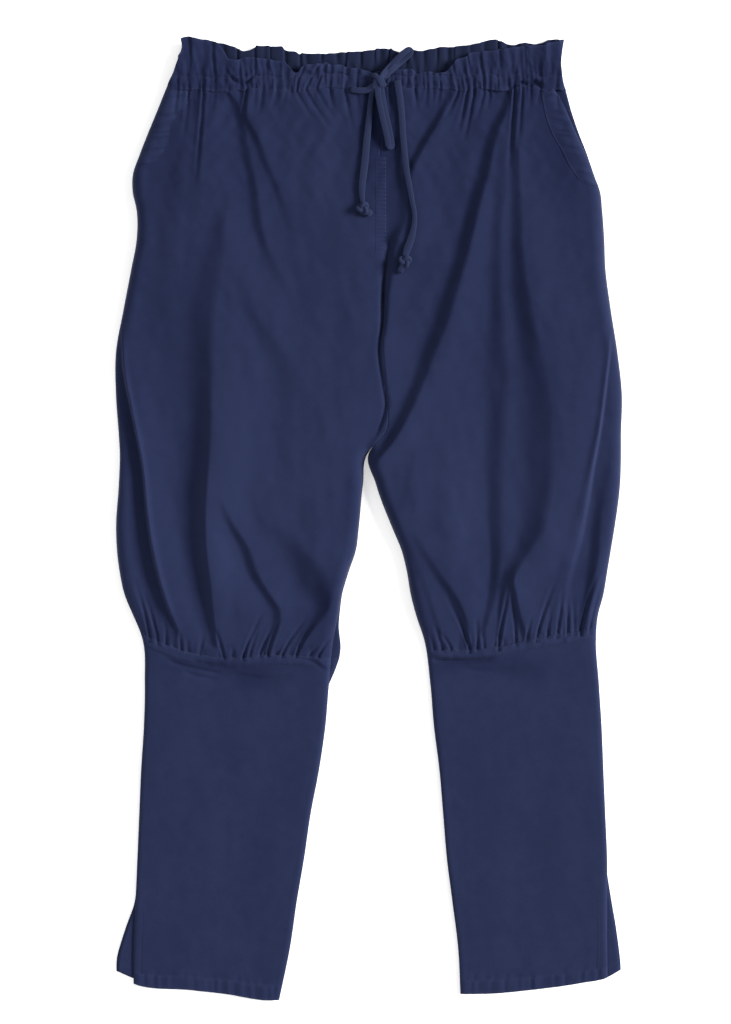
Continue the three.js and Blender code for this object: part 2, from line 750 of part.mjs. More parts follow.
const feedStart = overCloth(FEED, FEED.radius);
const feedEnd = new THREE.Vector3(KNOT.x - 2, toY(KNOT.h - 2), knotRest);
bow = bow.add(solidFrom(tube([feedStart, feedMiddle, feedEnd], FEED.radius, BOW_STEP)));
pieces.drawstring_bow = geometryFrom(bow);

const trousers = new THREE.Group();
trousers.name = "trousers";
for (const [name, geometry] of Object.entries(pieces)) {
  const color = name in panels ? CLOTH_COLOUR : TRIM_COLOUR;
  const material = new THREE.MeshStandardMaterial({ color, roughness: 0.9, metalness: 0 });
  const mesh = new THREE.Mesh(geometry, material);
  mesh.name = name;
  trousers.add(mesh);
}

export default trousers;
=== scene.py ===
import math

import bmesh
import bpy
import numpy as np
from mathutils import Matrix, Vector


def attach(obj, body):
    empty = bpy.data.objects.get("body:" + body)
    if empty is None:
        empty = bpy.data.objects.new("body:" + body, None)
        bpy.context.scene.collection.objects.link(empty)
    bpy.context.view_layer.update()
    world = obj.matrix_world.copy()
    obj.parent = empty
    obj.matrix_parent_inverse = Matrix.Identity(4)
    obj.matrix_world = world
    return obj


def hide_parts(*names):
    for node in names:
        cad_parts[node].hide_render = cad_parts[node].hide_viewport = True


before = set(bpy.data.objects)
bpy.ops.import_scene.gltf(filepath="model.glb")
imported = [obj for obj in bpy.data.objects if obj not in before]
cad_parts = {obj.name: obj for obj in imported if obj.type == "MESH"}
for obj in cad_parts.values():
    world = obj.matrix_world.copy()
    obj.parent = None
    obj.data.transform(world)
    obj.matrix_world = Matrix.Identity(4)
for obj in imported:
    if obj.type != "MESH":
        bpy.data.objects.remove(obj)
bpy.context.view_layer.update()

# Cloth trousers laid flat with the front up. Tables are in millimetres: x across, towards the
# wearer's left, and h up from the hem. The wearer's right leg is on the side of -x.
MM = 0.001
OUTSEAM = 1040
HALF_LENGTH = OUTSEAM / 2
CROTCH = 592
WAIST_SEAM = 983
CASING_STITCH = 996.5
KNEE_SEAM = 375
KNEE_SLANT_REACH = 150  # how far from the seam the panels' rows slant with it
HEM_SLANT_REACH = 100
BACK_TOP = 1.5  # upper face of the back where it lies flat, and its thickness
CLOTH_THICK = 1.2
EDGE_TOP = BACK_TOP + CLOTH_THICK + 0.15  # upper face of the front at its side edges
EDGE_ROUND = 13  # how far in from its edges the front is rounded
HEM_STITCH = 15
STITCH_LENGTH = 2.4
STITCH_STEP = 3.6
SIDES = ("right", "left")
AWAY = {"right": -1, "left": 1}  # the way from the garment's middle to its side, along x


def table(*rows):
    """A short table of numbers as columns, one array for each."""
    return np.array(rows, float).T


# Leg edges and centre front seam: h, right outer, right inner, left inner, left outer.
OUTLINE = table(
    (0, -254, -97, 99, 258), (58, -254, -85, 96, 257), (106, -252, -78, 90, 257),
    (153, -250, -70, 84, 257), (201, -248, -63, 80, 255), (248, -246, -54, 76, 253),
    (296, -243, -47, 70, 251), (343, -242, -43, 66, 248), (391, -245, -38, 59, 245),
    (415, -255, -33, 51, 247), (438, -264, -29, 45, 253), (462, -269, -22, 41, 257),
    (486, -272, -14, 35, 261), (510, -273, -11, 25, 265), (557, -270, -6.5, 7.5, 271),
    (592, -269, -0.5, 0.5, 272), (610, -270, 16, 16, 272), (652, -273, 18, 18, 273),
    (700, -273, 15, 15, 268), (745, -265, 14, 14, 261), (792, -256, 19, 19, 255),
    (819, -251, 13, 13, 254), (854, -251, 12, 12, 251.5), (872, -255, 12, 12, 249.5),
    (890, -255, 12, 12, 243), (914, -247, 12, 12, 235), (937, -238, 13, 13, 226),
    (961, -228, 14, 14, 218), (983, -219, 14, 14, 212), (990, -216, 14, 14, 209.5),
    (1000, -211, 14, 14, 208), (1012, -207, 14, 14, 207), (1022, -202, 14, 14, 208),
    (1040, -202, 14, 14, 211),
)
EDGE_COLUMN = {"right_outer": 1, "right_inner": 2, "left_inner": 3, "left_outer": 4}

# How far the back shows past the front: h, right outer, right inner, left outer.
BACK_SHOWS = table(
    (0, 18, 0, 14), (35, 18, 0, 14), (58, 14, 0, 12), (82, 8, 0, 9), (106, 1, 0, 5), (130, 0, 0, 1),
    (360, 0, 0, 0), (381, 0, 6, 0), (405, 0, 9, 0), (430, 0, 2, 0), (455, 0, 0, 0),
)

# The slanted knee seams and hems: x, knee, hem.
CROSS_SEAMS = table(
    (-272, 402, 26), (-254, 398, 18), (-191, 375, 11), (-155, 370, 7), (-105, 373, 0), (-96, 373, 0.5),
    (-38, 370, 3), (59, 378, 7), (99, 378.5, 7), (134, 382, 7.5), (172, 390, 11), (230, 400, 19),
    (258, 403, 25), (272, 404, 33),
)

# The ruffle's top edge, x and h.
RUFFLE_FRONT = table(
    (-204, 1036), (-198, 1040), (-176, 1035), (-164, 1034), (-156, 1025), (-150, 1014), (-123, 1017),
    (-84, 1012), (-77, 1002), (-71, 1000), (-66, 1010), (-40, 1009), (-6, 1002), (11, 998.8),
    (30, 1003), (51, 1005.5), (54, 999.5), (84, 999.5), (98, 1015), (111, 1022), (152, 1027),
    (190, 1031), (206, 1035.5), (211, 1034),
)
RUFFLE_BACK = table(
    (-204, 1034), (-164, 1034.5), (-142, 1026), (-132, 1023), (-124, 1030), (-97, 1029), (-78, 1022),
    (-42, 1021), (-10, 1024), (14, 1027), (26, 1026), (35, 1022.5), (46, 1027.5), (55, 1023),
    (71, 1028), (93, 1028.5), (111, 1032), (133, 1036.5), (144, 1034), (154, 1030), (165, 1034),
    (176, 1031), (190, 1036), (211, 1037),
)

# Fullness of the front above its side edges: h, lift.
FULLNESS = table(
    (0, 0.4), (60, 1.2), (200, 2.0), (340, 2.8), (362, 3.2), (375, 4.6), (388, 7.2), (404, 9.6),
    (428, 12), (520, 14), (640, 13.5), (780, 13), (880, 11.5), (935, 9.5), (960, 7.4), (983, 5.4),
)

# Folds of the front: h, x of the line of steepest dark face, rise, width before and after it.
FOLDS = {
    "right leg main": table(
        (389, -166, 4, 4, 3), (414, -170, 7, 7, 4), (448, -175, 12, 10, 6), (495, -181, 14, 13, 7),
        (535, -182, 15.5, 17, 8), (589, -179, 15, 22, 9), (643, -179, 14.5, 32, 11),
        (670, -180, 13.5, 40, 13), (706, -180, 12, 42, 14), (756, -177, 9, 36, 15),
        (790, -171, 7, 26, 14), (819, -165, 5, 18, 11), (848, -159, 3, 10, 8), (875, -154, 0, 6, 6),
    ),
    "right leg second": table(
        (751, -84, 0, 9, 8), (772, -95, 1.875, 9, 8), (799, -108, 3, 8, 7), (832, -119, 4.75, 8, 6),
        (853, -122, 4.275, 8, 6), (886, -127, 4.75, 7, 6), (918, -134, 4.75, 7, 6),
        (954, -140, 4.75, 6, 5), (975, -149, 3.8, 5, 4), (987, -160, 2.85, 4, 4),
    ),
    "right leg third": table(
        (824, -80, 0, 5, 5), (842, -89, 1.5, 5, 5), (873, -99, 2.5, 5, 5), (902, -112, 3.5, 5, 5),
        (932, -123, 4, 5, 4), (950, -133, 4, 4, 4), (983, -134, 3, 4, 4),
    ),
    "right leg soft middle": table(
        (626, -83, 0, 18, 12), (670, -90, 2, 16, 10), (707, -105, 2.5, 14, 9), (729, -121, 3, 12, 9),
        (751, -133, 3, 10, 9), (772, -136, 2, 9, 9), (799, -138, 0, 8, 8),
    ),
    "right leg narrow": table(
        (826, -191, 0, 10, 8), (864, -187, 2, 9, 7), (896, -186, 3, 8, 6), (940, -184, 3, 7, 5),
        (967, -186, 3, 6, 5), (988, -183, 2.5, 5, 4),
    ),
    "right leg soft outer": table(
        (691, -226, 0, 20, 16), (745, -224, 3, 20, 16), (799, -220, 4, 18, 14), (842, -214, 4, 16, 13),
        (886, -209, 3.5, 14, 11), (940, -207, 2.5, 12, 10), (967, -204, 0, 10, 8),
    ),
    "right knee diagonal": table(
        (380, -109, 3, 4, 3), (400, -102, 4, 5, 4), (421, -99, 5, 6, 5), (441, -112, 6, 7, 5),
        (459, -123, 6.5, 7, 6), (489, -134, 6, 7, 6), (516, -150, 4, 6, 5), (543, -161, 0, 5, 4),
    ),
    "right knee broad": table(
        (387, -73, 3, 4, 4), (405, -60, 5, 7, 6), (427, -48, 8, 12, 9), (443, -53, 11, 22, 14),
        (454, -58, 11.5, 25, 18), (470, -68, 9.5, 22, 18), (486, -80, 6.5, 18, 14),
        (516, -100, 0, 10, 10),
    ),
    "left leg strong diagonal": table(
        (575, 1.5, 2.9, 5, 4.4), (588, 11.5, 5.9, 5, 4.4), (603, 22.5, 8.8, 6.3, 5.5),
        (624, 34.5, 8.8, 7.5, 6.6), (657, 49.5, 8.8, 8.7, 7.7), (697, 64.5, 9.6, 9.9, 8.8),
        (732, 78.5, 10.4, 9.9, 8.8), (765, 88.5, 10.4, 9.9, 8.8), (799, 99.5, 11.1, 9.9, 7.7),
        (832, 107.5, 11.8, 9.9, 7.7), (864, 115.5, 10, 9.9, 7.7), (896, 124.5, 8.5, 9.3, 7.1),
        (929, 132.5, 7.5, 8.7, 6.6), (954, 142.5, 6.3, 7.5, 5.5), (981, 151.5, 5.3, 5, 4.4),
    ),
    "left leg beside the fly": table(
        (821, 27, 6, 6, 6), (840, 35, 4, 7, 6), (869, 38, 3, 7, 6), (891, 43, 4, 6, 5),
        (910, 51, 6, 6, 5), (927, 60, 6.5, 6, 5), (945, 71, 5.5, 6, 5), (967, 82, 4, 5, 4),
        (975, 86, 3, 4, 4),
    ),
    "left leg soft upper": table(
        (707, 33, 0, 14, 12), (743, 46, 2, 14, 12), (788, 66, 2.5, 14, 12), (824, 79, 3, 14, 12),
        (859, 90, 3, 13, 11), (896, 98, 3, 12, 10), (934, 106, 2.5, 10, 9), (961, 111, 1.5, 6, 6),
    ),
    "left leg long": table(
        (400, 123, 3, 4, 4), (432, 131, 5, 5, 6), (468, 136, 6, 6, 7), (508, 136, 6.5, 8, 10),
        (562, 134, 7, 11, 12), (616, 136, 7.5, 14, 13), (670, 140, 7.5, 15, 13),
        (724, 137, 6.5, 12, 10), (778, 136, 6, 10, 8), (832, 137, 5, 9, 7), (875, 141, 4, 8, 7),
        (907, 141, 3, 7, 6), (940, 143, 0, 5, 5),
    ),
    "left leg wide": table(
        (397, 141, 3, 4, 3), (427, 143, 5, 5, 4), (454, 149, 7.5, 9, 7), (473, 158, 8.5, 14, 9),
        (508, 176, 10, 22, 14), (549, 182, 11, 28, 16), (594, 181, 11, 27, 19), (643, 180, 11, 23, 18),
        (670, 178, 10.5, 20, 16), (711, 172, 9.5, 17, 13), (756, 164, 9, 13, 11),
        (783, 161, 8.5, 11, 9), (810, 159, 7.5, 9, 8), (859, 158, 5.5, 8, 7), (896, 157, 5, 7, 6),
        (940, 157, 4, 6, 5), (977, 162, 2, 4, 4),
    ),
    "left knee fork": table(
        (392, 168, 3, 4, 4), (414, 161, 5, 4, 4), (437, 156, 5, 4, 4), (454, 153, 3, 4, 4),
        (473, 156, 0, 4, 4),
    ),
    "left leg edge": table(
        (403, 231.5, 3, 4, 3), (421, 233.5, 4.5, 5, 4), (459, 239.5, 5.5, 7, 5),
        (481, 242.5, 5.5, 8, 6), (518, 245.5, 5, 8, 6), (550, 250.5, 3, 8, 6), (590, 257.5, 0, 6, 5),
    ),
    "left knee inner": table(
        (394, 77, 1.35, 4, 3), (427, 66, 1.575, 4, 4), (470, 51, 0.9, 4, 4), (497, 43, 0, 4, 4),
    ),
    "left knee diagonal": table(
        (387, 106, 3, 3.5, 3.5), (405, 104, 4, 4, 4), (432, 93, 5, 6, 5), (462, 72, 4, 8, 6),
        (491, 54, 2.5, 7, 6), (508, 46, 0, 6, 5),
    ),
    "left leg soft inner": table(
        (518, 32, 0, 6, 6), (540, 37, 1.5, 6, 6), (572, 44, 1.5, 6, 6), (605, 51, 0, 6, 6),
    ),
    "centre front": table(
        (590, -1, 2.1, 5, 5), (603, 4, 2.73, 6, 5), (618, 12, 2.73, 6, 6), (640, 19, 2.73, 5.5, 6),
        (666, 16, 2.52, 4.5, 6), (702, 12, 2.73, 3.2, 4), (731, 15.5, 3.15, 3.6, 3.6),
        (760, 16.5, 3.78, 4.2, 4), (788, 17.3, 3.99, 5, 4.2), (803, 20, 3.36, 6, 5),
        (821, 24, 2.52, 6, 7), (864, 23, 1.26, 7, 8), (918, 20, 1, 7, 7), (938, 16, 6, 7, 6),
        (962, 13, 7, 8, 6), (980, 11, 5, 7, 5),
    ),
}

FOLD_SCALE = 0.85  # the share of a table's rise that is used

# The groove of the centre front seam below the fly: h, x, depth, width.
SEAM_GROOVE = table(
    (600, 3, 0, 1.8), (618, 11, 2, 1.8), (640, 18, 3, 1.9), (666, 15, 3, 1.9), (702, 11.5, 5, 1.9),
    (731, 15, 7, 2.2), (760, 16, 9, 2.7), (788, 18.5, 9.5, 4), (806, 21, 6.5, 4), (828, 25, 0, 2.5),
)

# Fold lips, where the cloth outside the line lies lower: h, x, drop, width of the step.
LIPS = {
    "right": table(
        (400, -207, 2, 3), (424, -217, 5, 3), (448, -225, 7, 3), (481, -233, 8, 3),
        (529, -240, 8.5, 2.6), (572, -244, 8.5, 2.4), (630, -255, 8, 2.4), (675, -264, 6, 2.4),
        (713, -267, 3, 2.4), (748, -268.5, 0, 2.4),
    ),
    "left": table(
        (430, 211, 1.5, 9), (464, 218, 3, 8), (491, 226, 4, 7), (535, 235, 5.5, 5), (572, 241, 7, 3.6),
        (616, 249, 6.5, 2.8), (670, 256, 5, 2.6), (700, 259.5, 3, 2.6), (728, 261.5, 0, 2.6),
    ),
}

# Pocket mouth of the left leg: h, how far the front's edge lies inside the back's.
POCKET_MOUTH = table(
    (895, 0), (907, 0.5), (927, 3), (945, 4.5), (962, 6.6), (975, 10), (984, 14),
)
# Inner stitch lines of the two pocket bands: h, x.
POCKET_STITCH = {
    "right": table(
        (901, -246), (904, -228), (916, -219), (929, -213.8), (943, -213), (959, -203), (973, -192),
        (983, -192),
    ),
    "left": table(
        (877, 240), (885.6, 225.7), (902, 215), (918, 207.4), (932, 198.7), (945, 193.3), (958, 190),
        (983, 186),
    ),
}
FLY = {"low": 805, "high": 911, "left": 6.5, "right": 18.5}
SLIT_TOP = {"right": 100, "left": 118}

# Soft creases across the calves under the knee seams: x, h, depth.
CALF_CREASES = (
    table((-222, 369, 1.0), (-200, 361, 1.7), (-178, 356, 1.5), (-155, 352, 0.8)),
    table((-205, 357, 0.9), (-185, 350, 1.2), (-160, 346, 0.7)),
    table((64, 368, 2.9), (90, 366.5, 3.3), (115, 367, 2.8), (138, 369, 1.4)),
    table((100, 358, 0.8), (130, 355, 1.1), (160, 360, 0.7)),
    table((-150, 352, 0.9), (-110, 347, 1.0), (-80, 351, 0.6)),
    table((-82, 369, 0.8), (-62, 366, 1.5), (-50, 359, 1.7), (-42, 352, 1.0)),
    table((-195, 366, 0.8), (-170, 362, 1.3), (-145, 361, 0.7)),
)

# Creases along the front of the waistband: x, h, depth.
BAND_CREASES = (
    table((-157, 1011, 1.2), (-151, 999, 2.6), (-141, 990.5, 3.2), (-130, 992, 2.8), (-119, 1004, 1)),
    table((140, 985.5, 1.5), (156, 986, 3.4), (176, 986, 3.4), (192, 987.5, 1.2)),
    table((60, 990, 0.6), (84, 993, 1.4), (104, 991, 0.6)),
    table((-90, 1001, 0.8), (-60, 999, 1.4), (-34, 999, 0.8)),
)

# Shallow hollows of the calves: x, h, reach across and up, depth.
CALF_HOLLOWS = (
    (-140, 349, 30, 12, 3.0), (-176, 268, 20, 26, 1.5), (-100, 250, 24, 40, 0.9),
    (150, 345, 30, 14, 1.3), (105, 220, 26, 60, 1.2), (170, 190, 24, 50, 0.9), (-140, 150, 30, 60, 1.1),
)

# Patches where the cloth is made paler or darker: x, h, reach across and up, how much. The darker ones
# are painted shade: under the knee seams, along the fly, between the ties under the bow, and on the
# hips and knees.
PALE_AND_PAINTED_SHADE_PATCHES = (
    (-48, 915, 40, 72, 0.8), (-144, 622, 22, 88, 0.55), (-120, 767, 20, 50, 0.3),
    (118, 745, 45, 115, -0.45), (193, 648, 30, 85, -0.35), (104, 446, 50, 52, -0.6),
    (-64, 408, 40, 34, -0.6), (-38, 432, 12, 50, -1.2), (-166, 364, 40, 10, -1.3),
    (-128, 348, 27, 14, -1.0), (165, 357, 30, 11, -0.7), (-64, 366, 24, 9, -0.7),
    (105, 366, 45, 10, -1.0), (186, 990, 34, 26, -0.7), (206, 918, 24, 60, -1.0),
    (-175, 992, 36, 20, -0.6), (215, 454, 22, 25, -0.9), (182, 497, 14, 28, -0.6),
    (10, 890, 14, 30, -0.8), (8, 948, 16, 34, -1.6), (16, 612, 14, 20, -0.9), (258, 500, 8, 60, -1.0),
    (-17, 530, 8, 60, -1.0),
)

# Crisp creases that rise from the knee seams: x at the seam, x and h at the top, depth.
KNEE_CREASE_FOOT = 383  # where these start, as the mean height of the slanted seams
KNEE_CREASE_LINES = {
    "right": table(
        (-236.5, -252.7, 450, 2.6), (-227.5, -243.7, 439, 2.4), (-218.5, -220.3, 414, 1.6),
        (-202.3, -204.1, 403, 2.0), (-195.1, -196.0, 398, 1.4), (-182.5, -178.2, 407, 1.8),
        (-156.6, -166.3, 414, 2.6), (-148.3, -146.5, 392, 1.4), (-135.0, -114.1, 430, 2.8),
        (-128.5, -119.5, 414, 2.2), (-117.7, -101.5, 416, 2.4), (-108.7, -95.4, 424, 2.8),
        (-99.7, -91.8, 394, 1.6), (-93.2, -67.3, 424, 2.6), (-78.1, -59.4, 420, 2.8),
        (-64.4, -55.8, 394, 1.8), (-54.7, -37.8, 409, 2.4),
    ),
    "left": table(
        (70.2, 65.2, 401, 2.0), (78.5, 71.3, 410, 2.2), (88.6, 77.8, 402, 2.0), (108.4, 83.9, 442, 2.8),
        (117.0, 115.6, 420, 2.2), (124.2, 121.3, 402, 1.6), (140.0, 153.0, 461, 3.2),
        (158.4, 152.3, 452, 2.4), (170.3, 174.6, 412, 1.8), (181.1, 199.1, 447, 2.6),
        (192.6, 196.2, 420, 1.8), (203.4, 209.2, 441, 2.4), (214.2, 213.5, 430, 2.4),
        (221.4, 218.5, 431, 1.8), (228.6, 246.6, 459, 2.6), (238.0, 253.8, 456, 2.0),
    ),
}

# Crisp creases that hang from the waist seam: x at the seam, x and h at the low end, depth.
WAIST_CREASE_LINES = table(
    (-205.9, -210.6, 952, 1.6), (-194.0, -200.5, 926, 2.0), (-178.2, -186.1, 884, 3.0),
    (-166.3, -168.8, 957, 1.8), (-132.0, -136.0, 950, 3.0), (-122.0, -124.0, 962, 1.6),
    (-113.4, -118.4, 954, 2.2), (-99.0, -104.8, 960, 2.0), (-88.9, -94.3, 962, 1.6),
    (-78.1, -60.1, 950, 2.2), (-67.3, -38.5, 936, 2.2), (-56.5, -34.9, 948, 1.8),
    (-42.0, -38.5, 959, 1.6), (-25.9, -16.9, 936, 2.0), (-13.3, -10.4, 955, 1.6),
    (22.0, 24.0, 950, 1.8), (49.7, 50.8, 959, 1.8), (63.0, 60.5, 962, 1.6), (76.7, 73.0, 962, 1.6),
    (96.5, 82.0, 950, 2.4), (106.0, 95.4, 936, 3.0), (113.4, 101.9, 927, 2.6), (124.2, 115.6, 950, 2.0),
    (130.0, 127.8, 959, 1.6), (156.6, 150.5, 896, 2.6), (165.0, 160.0, 918, 2.4),
    (174.0, 172.4, 959, 1.6), (184.7, 181.0, 963, 1.4),
)

def interpolate(rows, column, at):
    """A column of a table at the given values of its first column, on a smooth curve."""
    places, values = rows[0], rows[column]
    slopes = np.gradient(values, places)
    at = np.clip(at, places[0], places[-1])
    i = np.clip(np.searchsorted(places, at) - 1, 0, len(places) - 2)
    width = places[i + 1] - places[i]
    t = (at - places[i]) / width
    keep = (1 + 2 * t) * (1 - t) ** 2 * values[i] + t**2 * (3 - 2 * t) * values[i + 1]
    bend = t * (1 - t) ** 2 * slopes[i] - t**2 * (1 - t) * slopes[i + 1]
    return keep + width * bend


def straight(rows, column, at):
    """The same on straight lines."""
    return np.interp(at, rows[0], rows[column])


def outline(edge, h):
    return interpolate(OUTLINE, EDGE_COLUMN[edge], h)


def level(x, row):
    """The height h of a point of a panel's row at x: knee seam and hem slant across the leg."""
    knee = interpolate(CROSS_SEAMS, 1, x) - KNEE_SEAM
    hem = interpolate(CROSS_SEAMS, 2, x)
    at_knee = np.clip(1 - np.abs(row - KNEE_SEAM) / KNEE_SLANT_REACH, 0, 1)
    at_hem = np.clip(1 - row / HEM_SLANT_REACH, 0, 1)
    return row + knee * at_knee + hem * at_hem


def smooth(t):
    t = np.clip(t, 0, 1)
    return t * t * (3 - 2 * t)


def rounded(t):
    t = np.clip(t, 0, 1)
    return np.sqrt(1 - (1 - t) ** 2)


def bell(t, wide=1):
    return np.exp(-((t / wide) ** 2))


def spot(x, h, centre_x, centre_h, across, up):
    """1 at the centre, falling off over the given reach across and up."""
    return np.exp(-(((x - centre_x) / across) ** 2 + ((h - centre_h) / up) ** 2))


def between(rows, at, past=0, fade=12):
    """1 along a table's span, made longer by past at each end, and 0 beyond, with soft ends."""
    return smooth((at - rows[0][0] + past) / fade) * smooth((rows[0][-1] + past - at) / fade)


def to_y(h):
    return (h - HALF_LENGTH) * MM


def pulled(x, h):
    """The cloth is drawn in a little, unevenly, along the gathered seams."""
    knee = h - interpolate(CROSS_SEAMS, 1, x)
    at_waist = bell(h - 990, 22)
    at_knee = bell(knee, 12)
    across = 0.9 * at_waist * soft_noise(x, h, 7, 9, 25)
    up = 3.2 * soft_noise(x, 0 * h, 15, 9, 27) + 1.4 * soft_noise(x, h, 5, 9, 28)
    up = up * at_waist
    up = up + 0.6 * at_knee * soft_noise(x, 0 * h, 5, 9, 29)
    inside = smooth((x + 204) / 12) * smooth((200 - x) / 12)
    return x + across * inside, h + up * np.where(h > 700, inside, 1)


def soft_noise(x, y, size_x, size_y, seed):
    """Smooth noise from -1 to 1 with cells of the given size in millimetres."""
    draw = np.random.default_rng(seed)
    lattice = draw.uniform(-1, 1, (256, 256))
    u, v = x / size_x + 97.3, y / size_y + 61.7
    i, j = np.floor(u).astype(int), np.floor(v).astype(int)
    s, t = smooth(u - i), smooth(v - j)
    i, j = i % 255, j % 255
    low = lattice[i, j] * (1 - s) + lattice[i + 1, j] * s
    high = lattice[i, j + 1] * (1 - s) + lattice[i + 1, j + 1] * s
    return low * (1 - t) + high * t


def make_creases(seed, count, start, end, depth, length, lean):
    """Uneven creases in a row of gathers: where each starts, how deep, how long, how it leans."""
    draw = np.random.default_rng(seed)
    spaces = draw.uniform(0.45, 1.55, count + 1)
    place = np.cumsum(spaces)[:-1] / spaces.sum()
    return {
        "x": start + (end - start) * place,
        "depth": draw.uniform(*depth, count),
        "length": length[0] + (length[1] - length[0]) * draw.uniform(0, 1, count) ** 1.6,
        "lean": draw.uniform(-lean, lean, count),
        "width": draw.uniform(1.5, 3.2, count),
    }


def crease_depth(creases, x, away):
    """How deep the creases cut at x, at a distance away from their row of stitches."""
    total = np.zeros_like(x)
    for start, depth, length, lean, width in zip(
        creases["x"], creases["depth"], creases["length"], creases["lean"], creases["width"]
    ):
        fade = np.clip(1 - away / length, 0, 1) ** 1.3
        spread = width + 0.05 * np.abs(away)
        across = (x - start - lean * away) / spread
        total += depth * fade * np.exp(-np.abs(across) ** 1.5)
    return total


# Rows of gathers: seed, count, x from and to, depth and length each from and to, lean.
ALL_ALONG = (200, 400)
WAIST_CREASES = make_creases(3, 34, -216, 210, (0.5, 2.0), (10, 50), 0.22)
BACK_WAIST_CREASES = make_creases(8, 36, -216, 210, (0.8, 2.2), (14, 60), 0.1)
CASING_CREASES = make_creases(5, 66, -214, 209, (0.4, 2.2), ALL_ALONG, 0.04)
RUFFLE_CREASES = make_creases(13, 40, -206, 208, (0.9, 3.4), ALL_ALONG, 0.12)
BACK_RUFFLE_CREASES = make_creases(21, 33, -206, 208, (1.2, 3.2), ALL_ALONG, 0.03)
KNEES = (("right", -240, -44, 31, 57), ("left", 64, 240, 47, 63))
KNEE_CREASES = {
    side: make_creases(seed, 12, start, end, (0.8, 2.0), (8, 24), 0.22)
    for side, start, end, seed, _ in KNEES
}
BACK_KNEE_CREASES = {
    side: make_creases(seed, 12, start, end, (0.6, 1.6), (10, 45), 0.2)
    for side, start, end, _, seed in KNEES
}


def fold_depth(rows, x, h):
    """A fold: the cloth dips before its dark face, rises over it, and falls away slowly after."""
    before, after = straight(rows, 3, h), straight(rows, 4, h)
    span = before + after
    low = interpolate(rows, 1, h) - before
    past = (x - low) / span
    steepest = np.log(0.5) / np.log(before / span)
    rise = smooth(np.clip(past, 0, 1) ** steepest)
    dip = bell(np.maximum(0, low - x), 9 + 0.9 * span)
    ridge = bell(np.maximum(0, x - low - span), 8 + span)
    height = 0.42 * rise * ridge - 0.58 * (1 - rise) * dip
    return -straight(rows, 2, h) * height * between(rows, h, 12)


def groove(rows, x, h):
    """A narrow groove along a table's line."""
    across = np.abs(x - interpolate(rows, 1, h)) / straight(rows, 3, h)
    return straight(rows, 2, h) * between(rows, h) * np.exp(-(across**1.5))


def cross_crease(rows, x, h):
    """A soft crease that runs across the cloth, with a raised lip: its line is h at x."""
    across = (h - interpolate(rows, 1, x)) / 2.6
    return straight(rows, 2, x) * between(rows, x) * (bell(across) - 0.4 * bell(across - 1.8))


def lip_drop(rows, x, h, side):
    """A fold's lip at the side: the cloth steps down past it and comes back up slowly."""
    outward = (x - interpolate(rows, 1, h)) * AWAY[side]
    width = straight(rows, 3, h)
    below = smooth(outward / width + 0.5)
    crown = 0.27 * bell(outward + 0.9 * width, 1.1 * width)
    back_up = 0.35 * smooth((outward - 3 * width) / 22)
    ends = smooth((h - rows[0][0] + 14) / 14) * smooth((rows[0][-1] - h) / 24)
    return straight(rows, 2, h) * (below - crown - back_up) * ends


def line_creases(rows, x, share_at):
    """Creases from a seam: share_at gives 0 at the seam and 1 at each one's far end."""
    total = np.zeros_like(x)
    for start, end, far, depth in rows.T:
        share = share_at(far)
        line = start + (end - start) * np.clip(share, 0, 1) ** 1.25
        width = 1.25 + 0.9 * np.clip(share, 0, 1)
        fade = np.clip(1 - share, 0, 1) ** 0.7 * (share > -0.4)
        across = np.abs(x - line) / width
        lips = 0.25 * bell(across - 2.1, 0.9)
        total += depth * fade * (np.exp(-(across**1.4)) - lips)
    return total


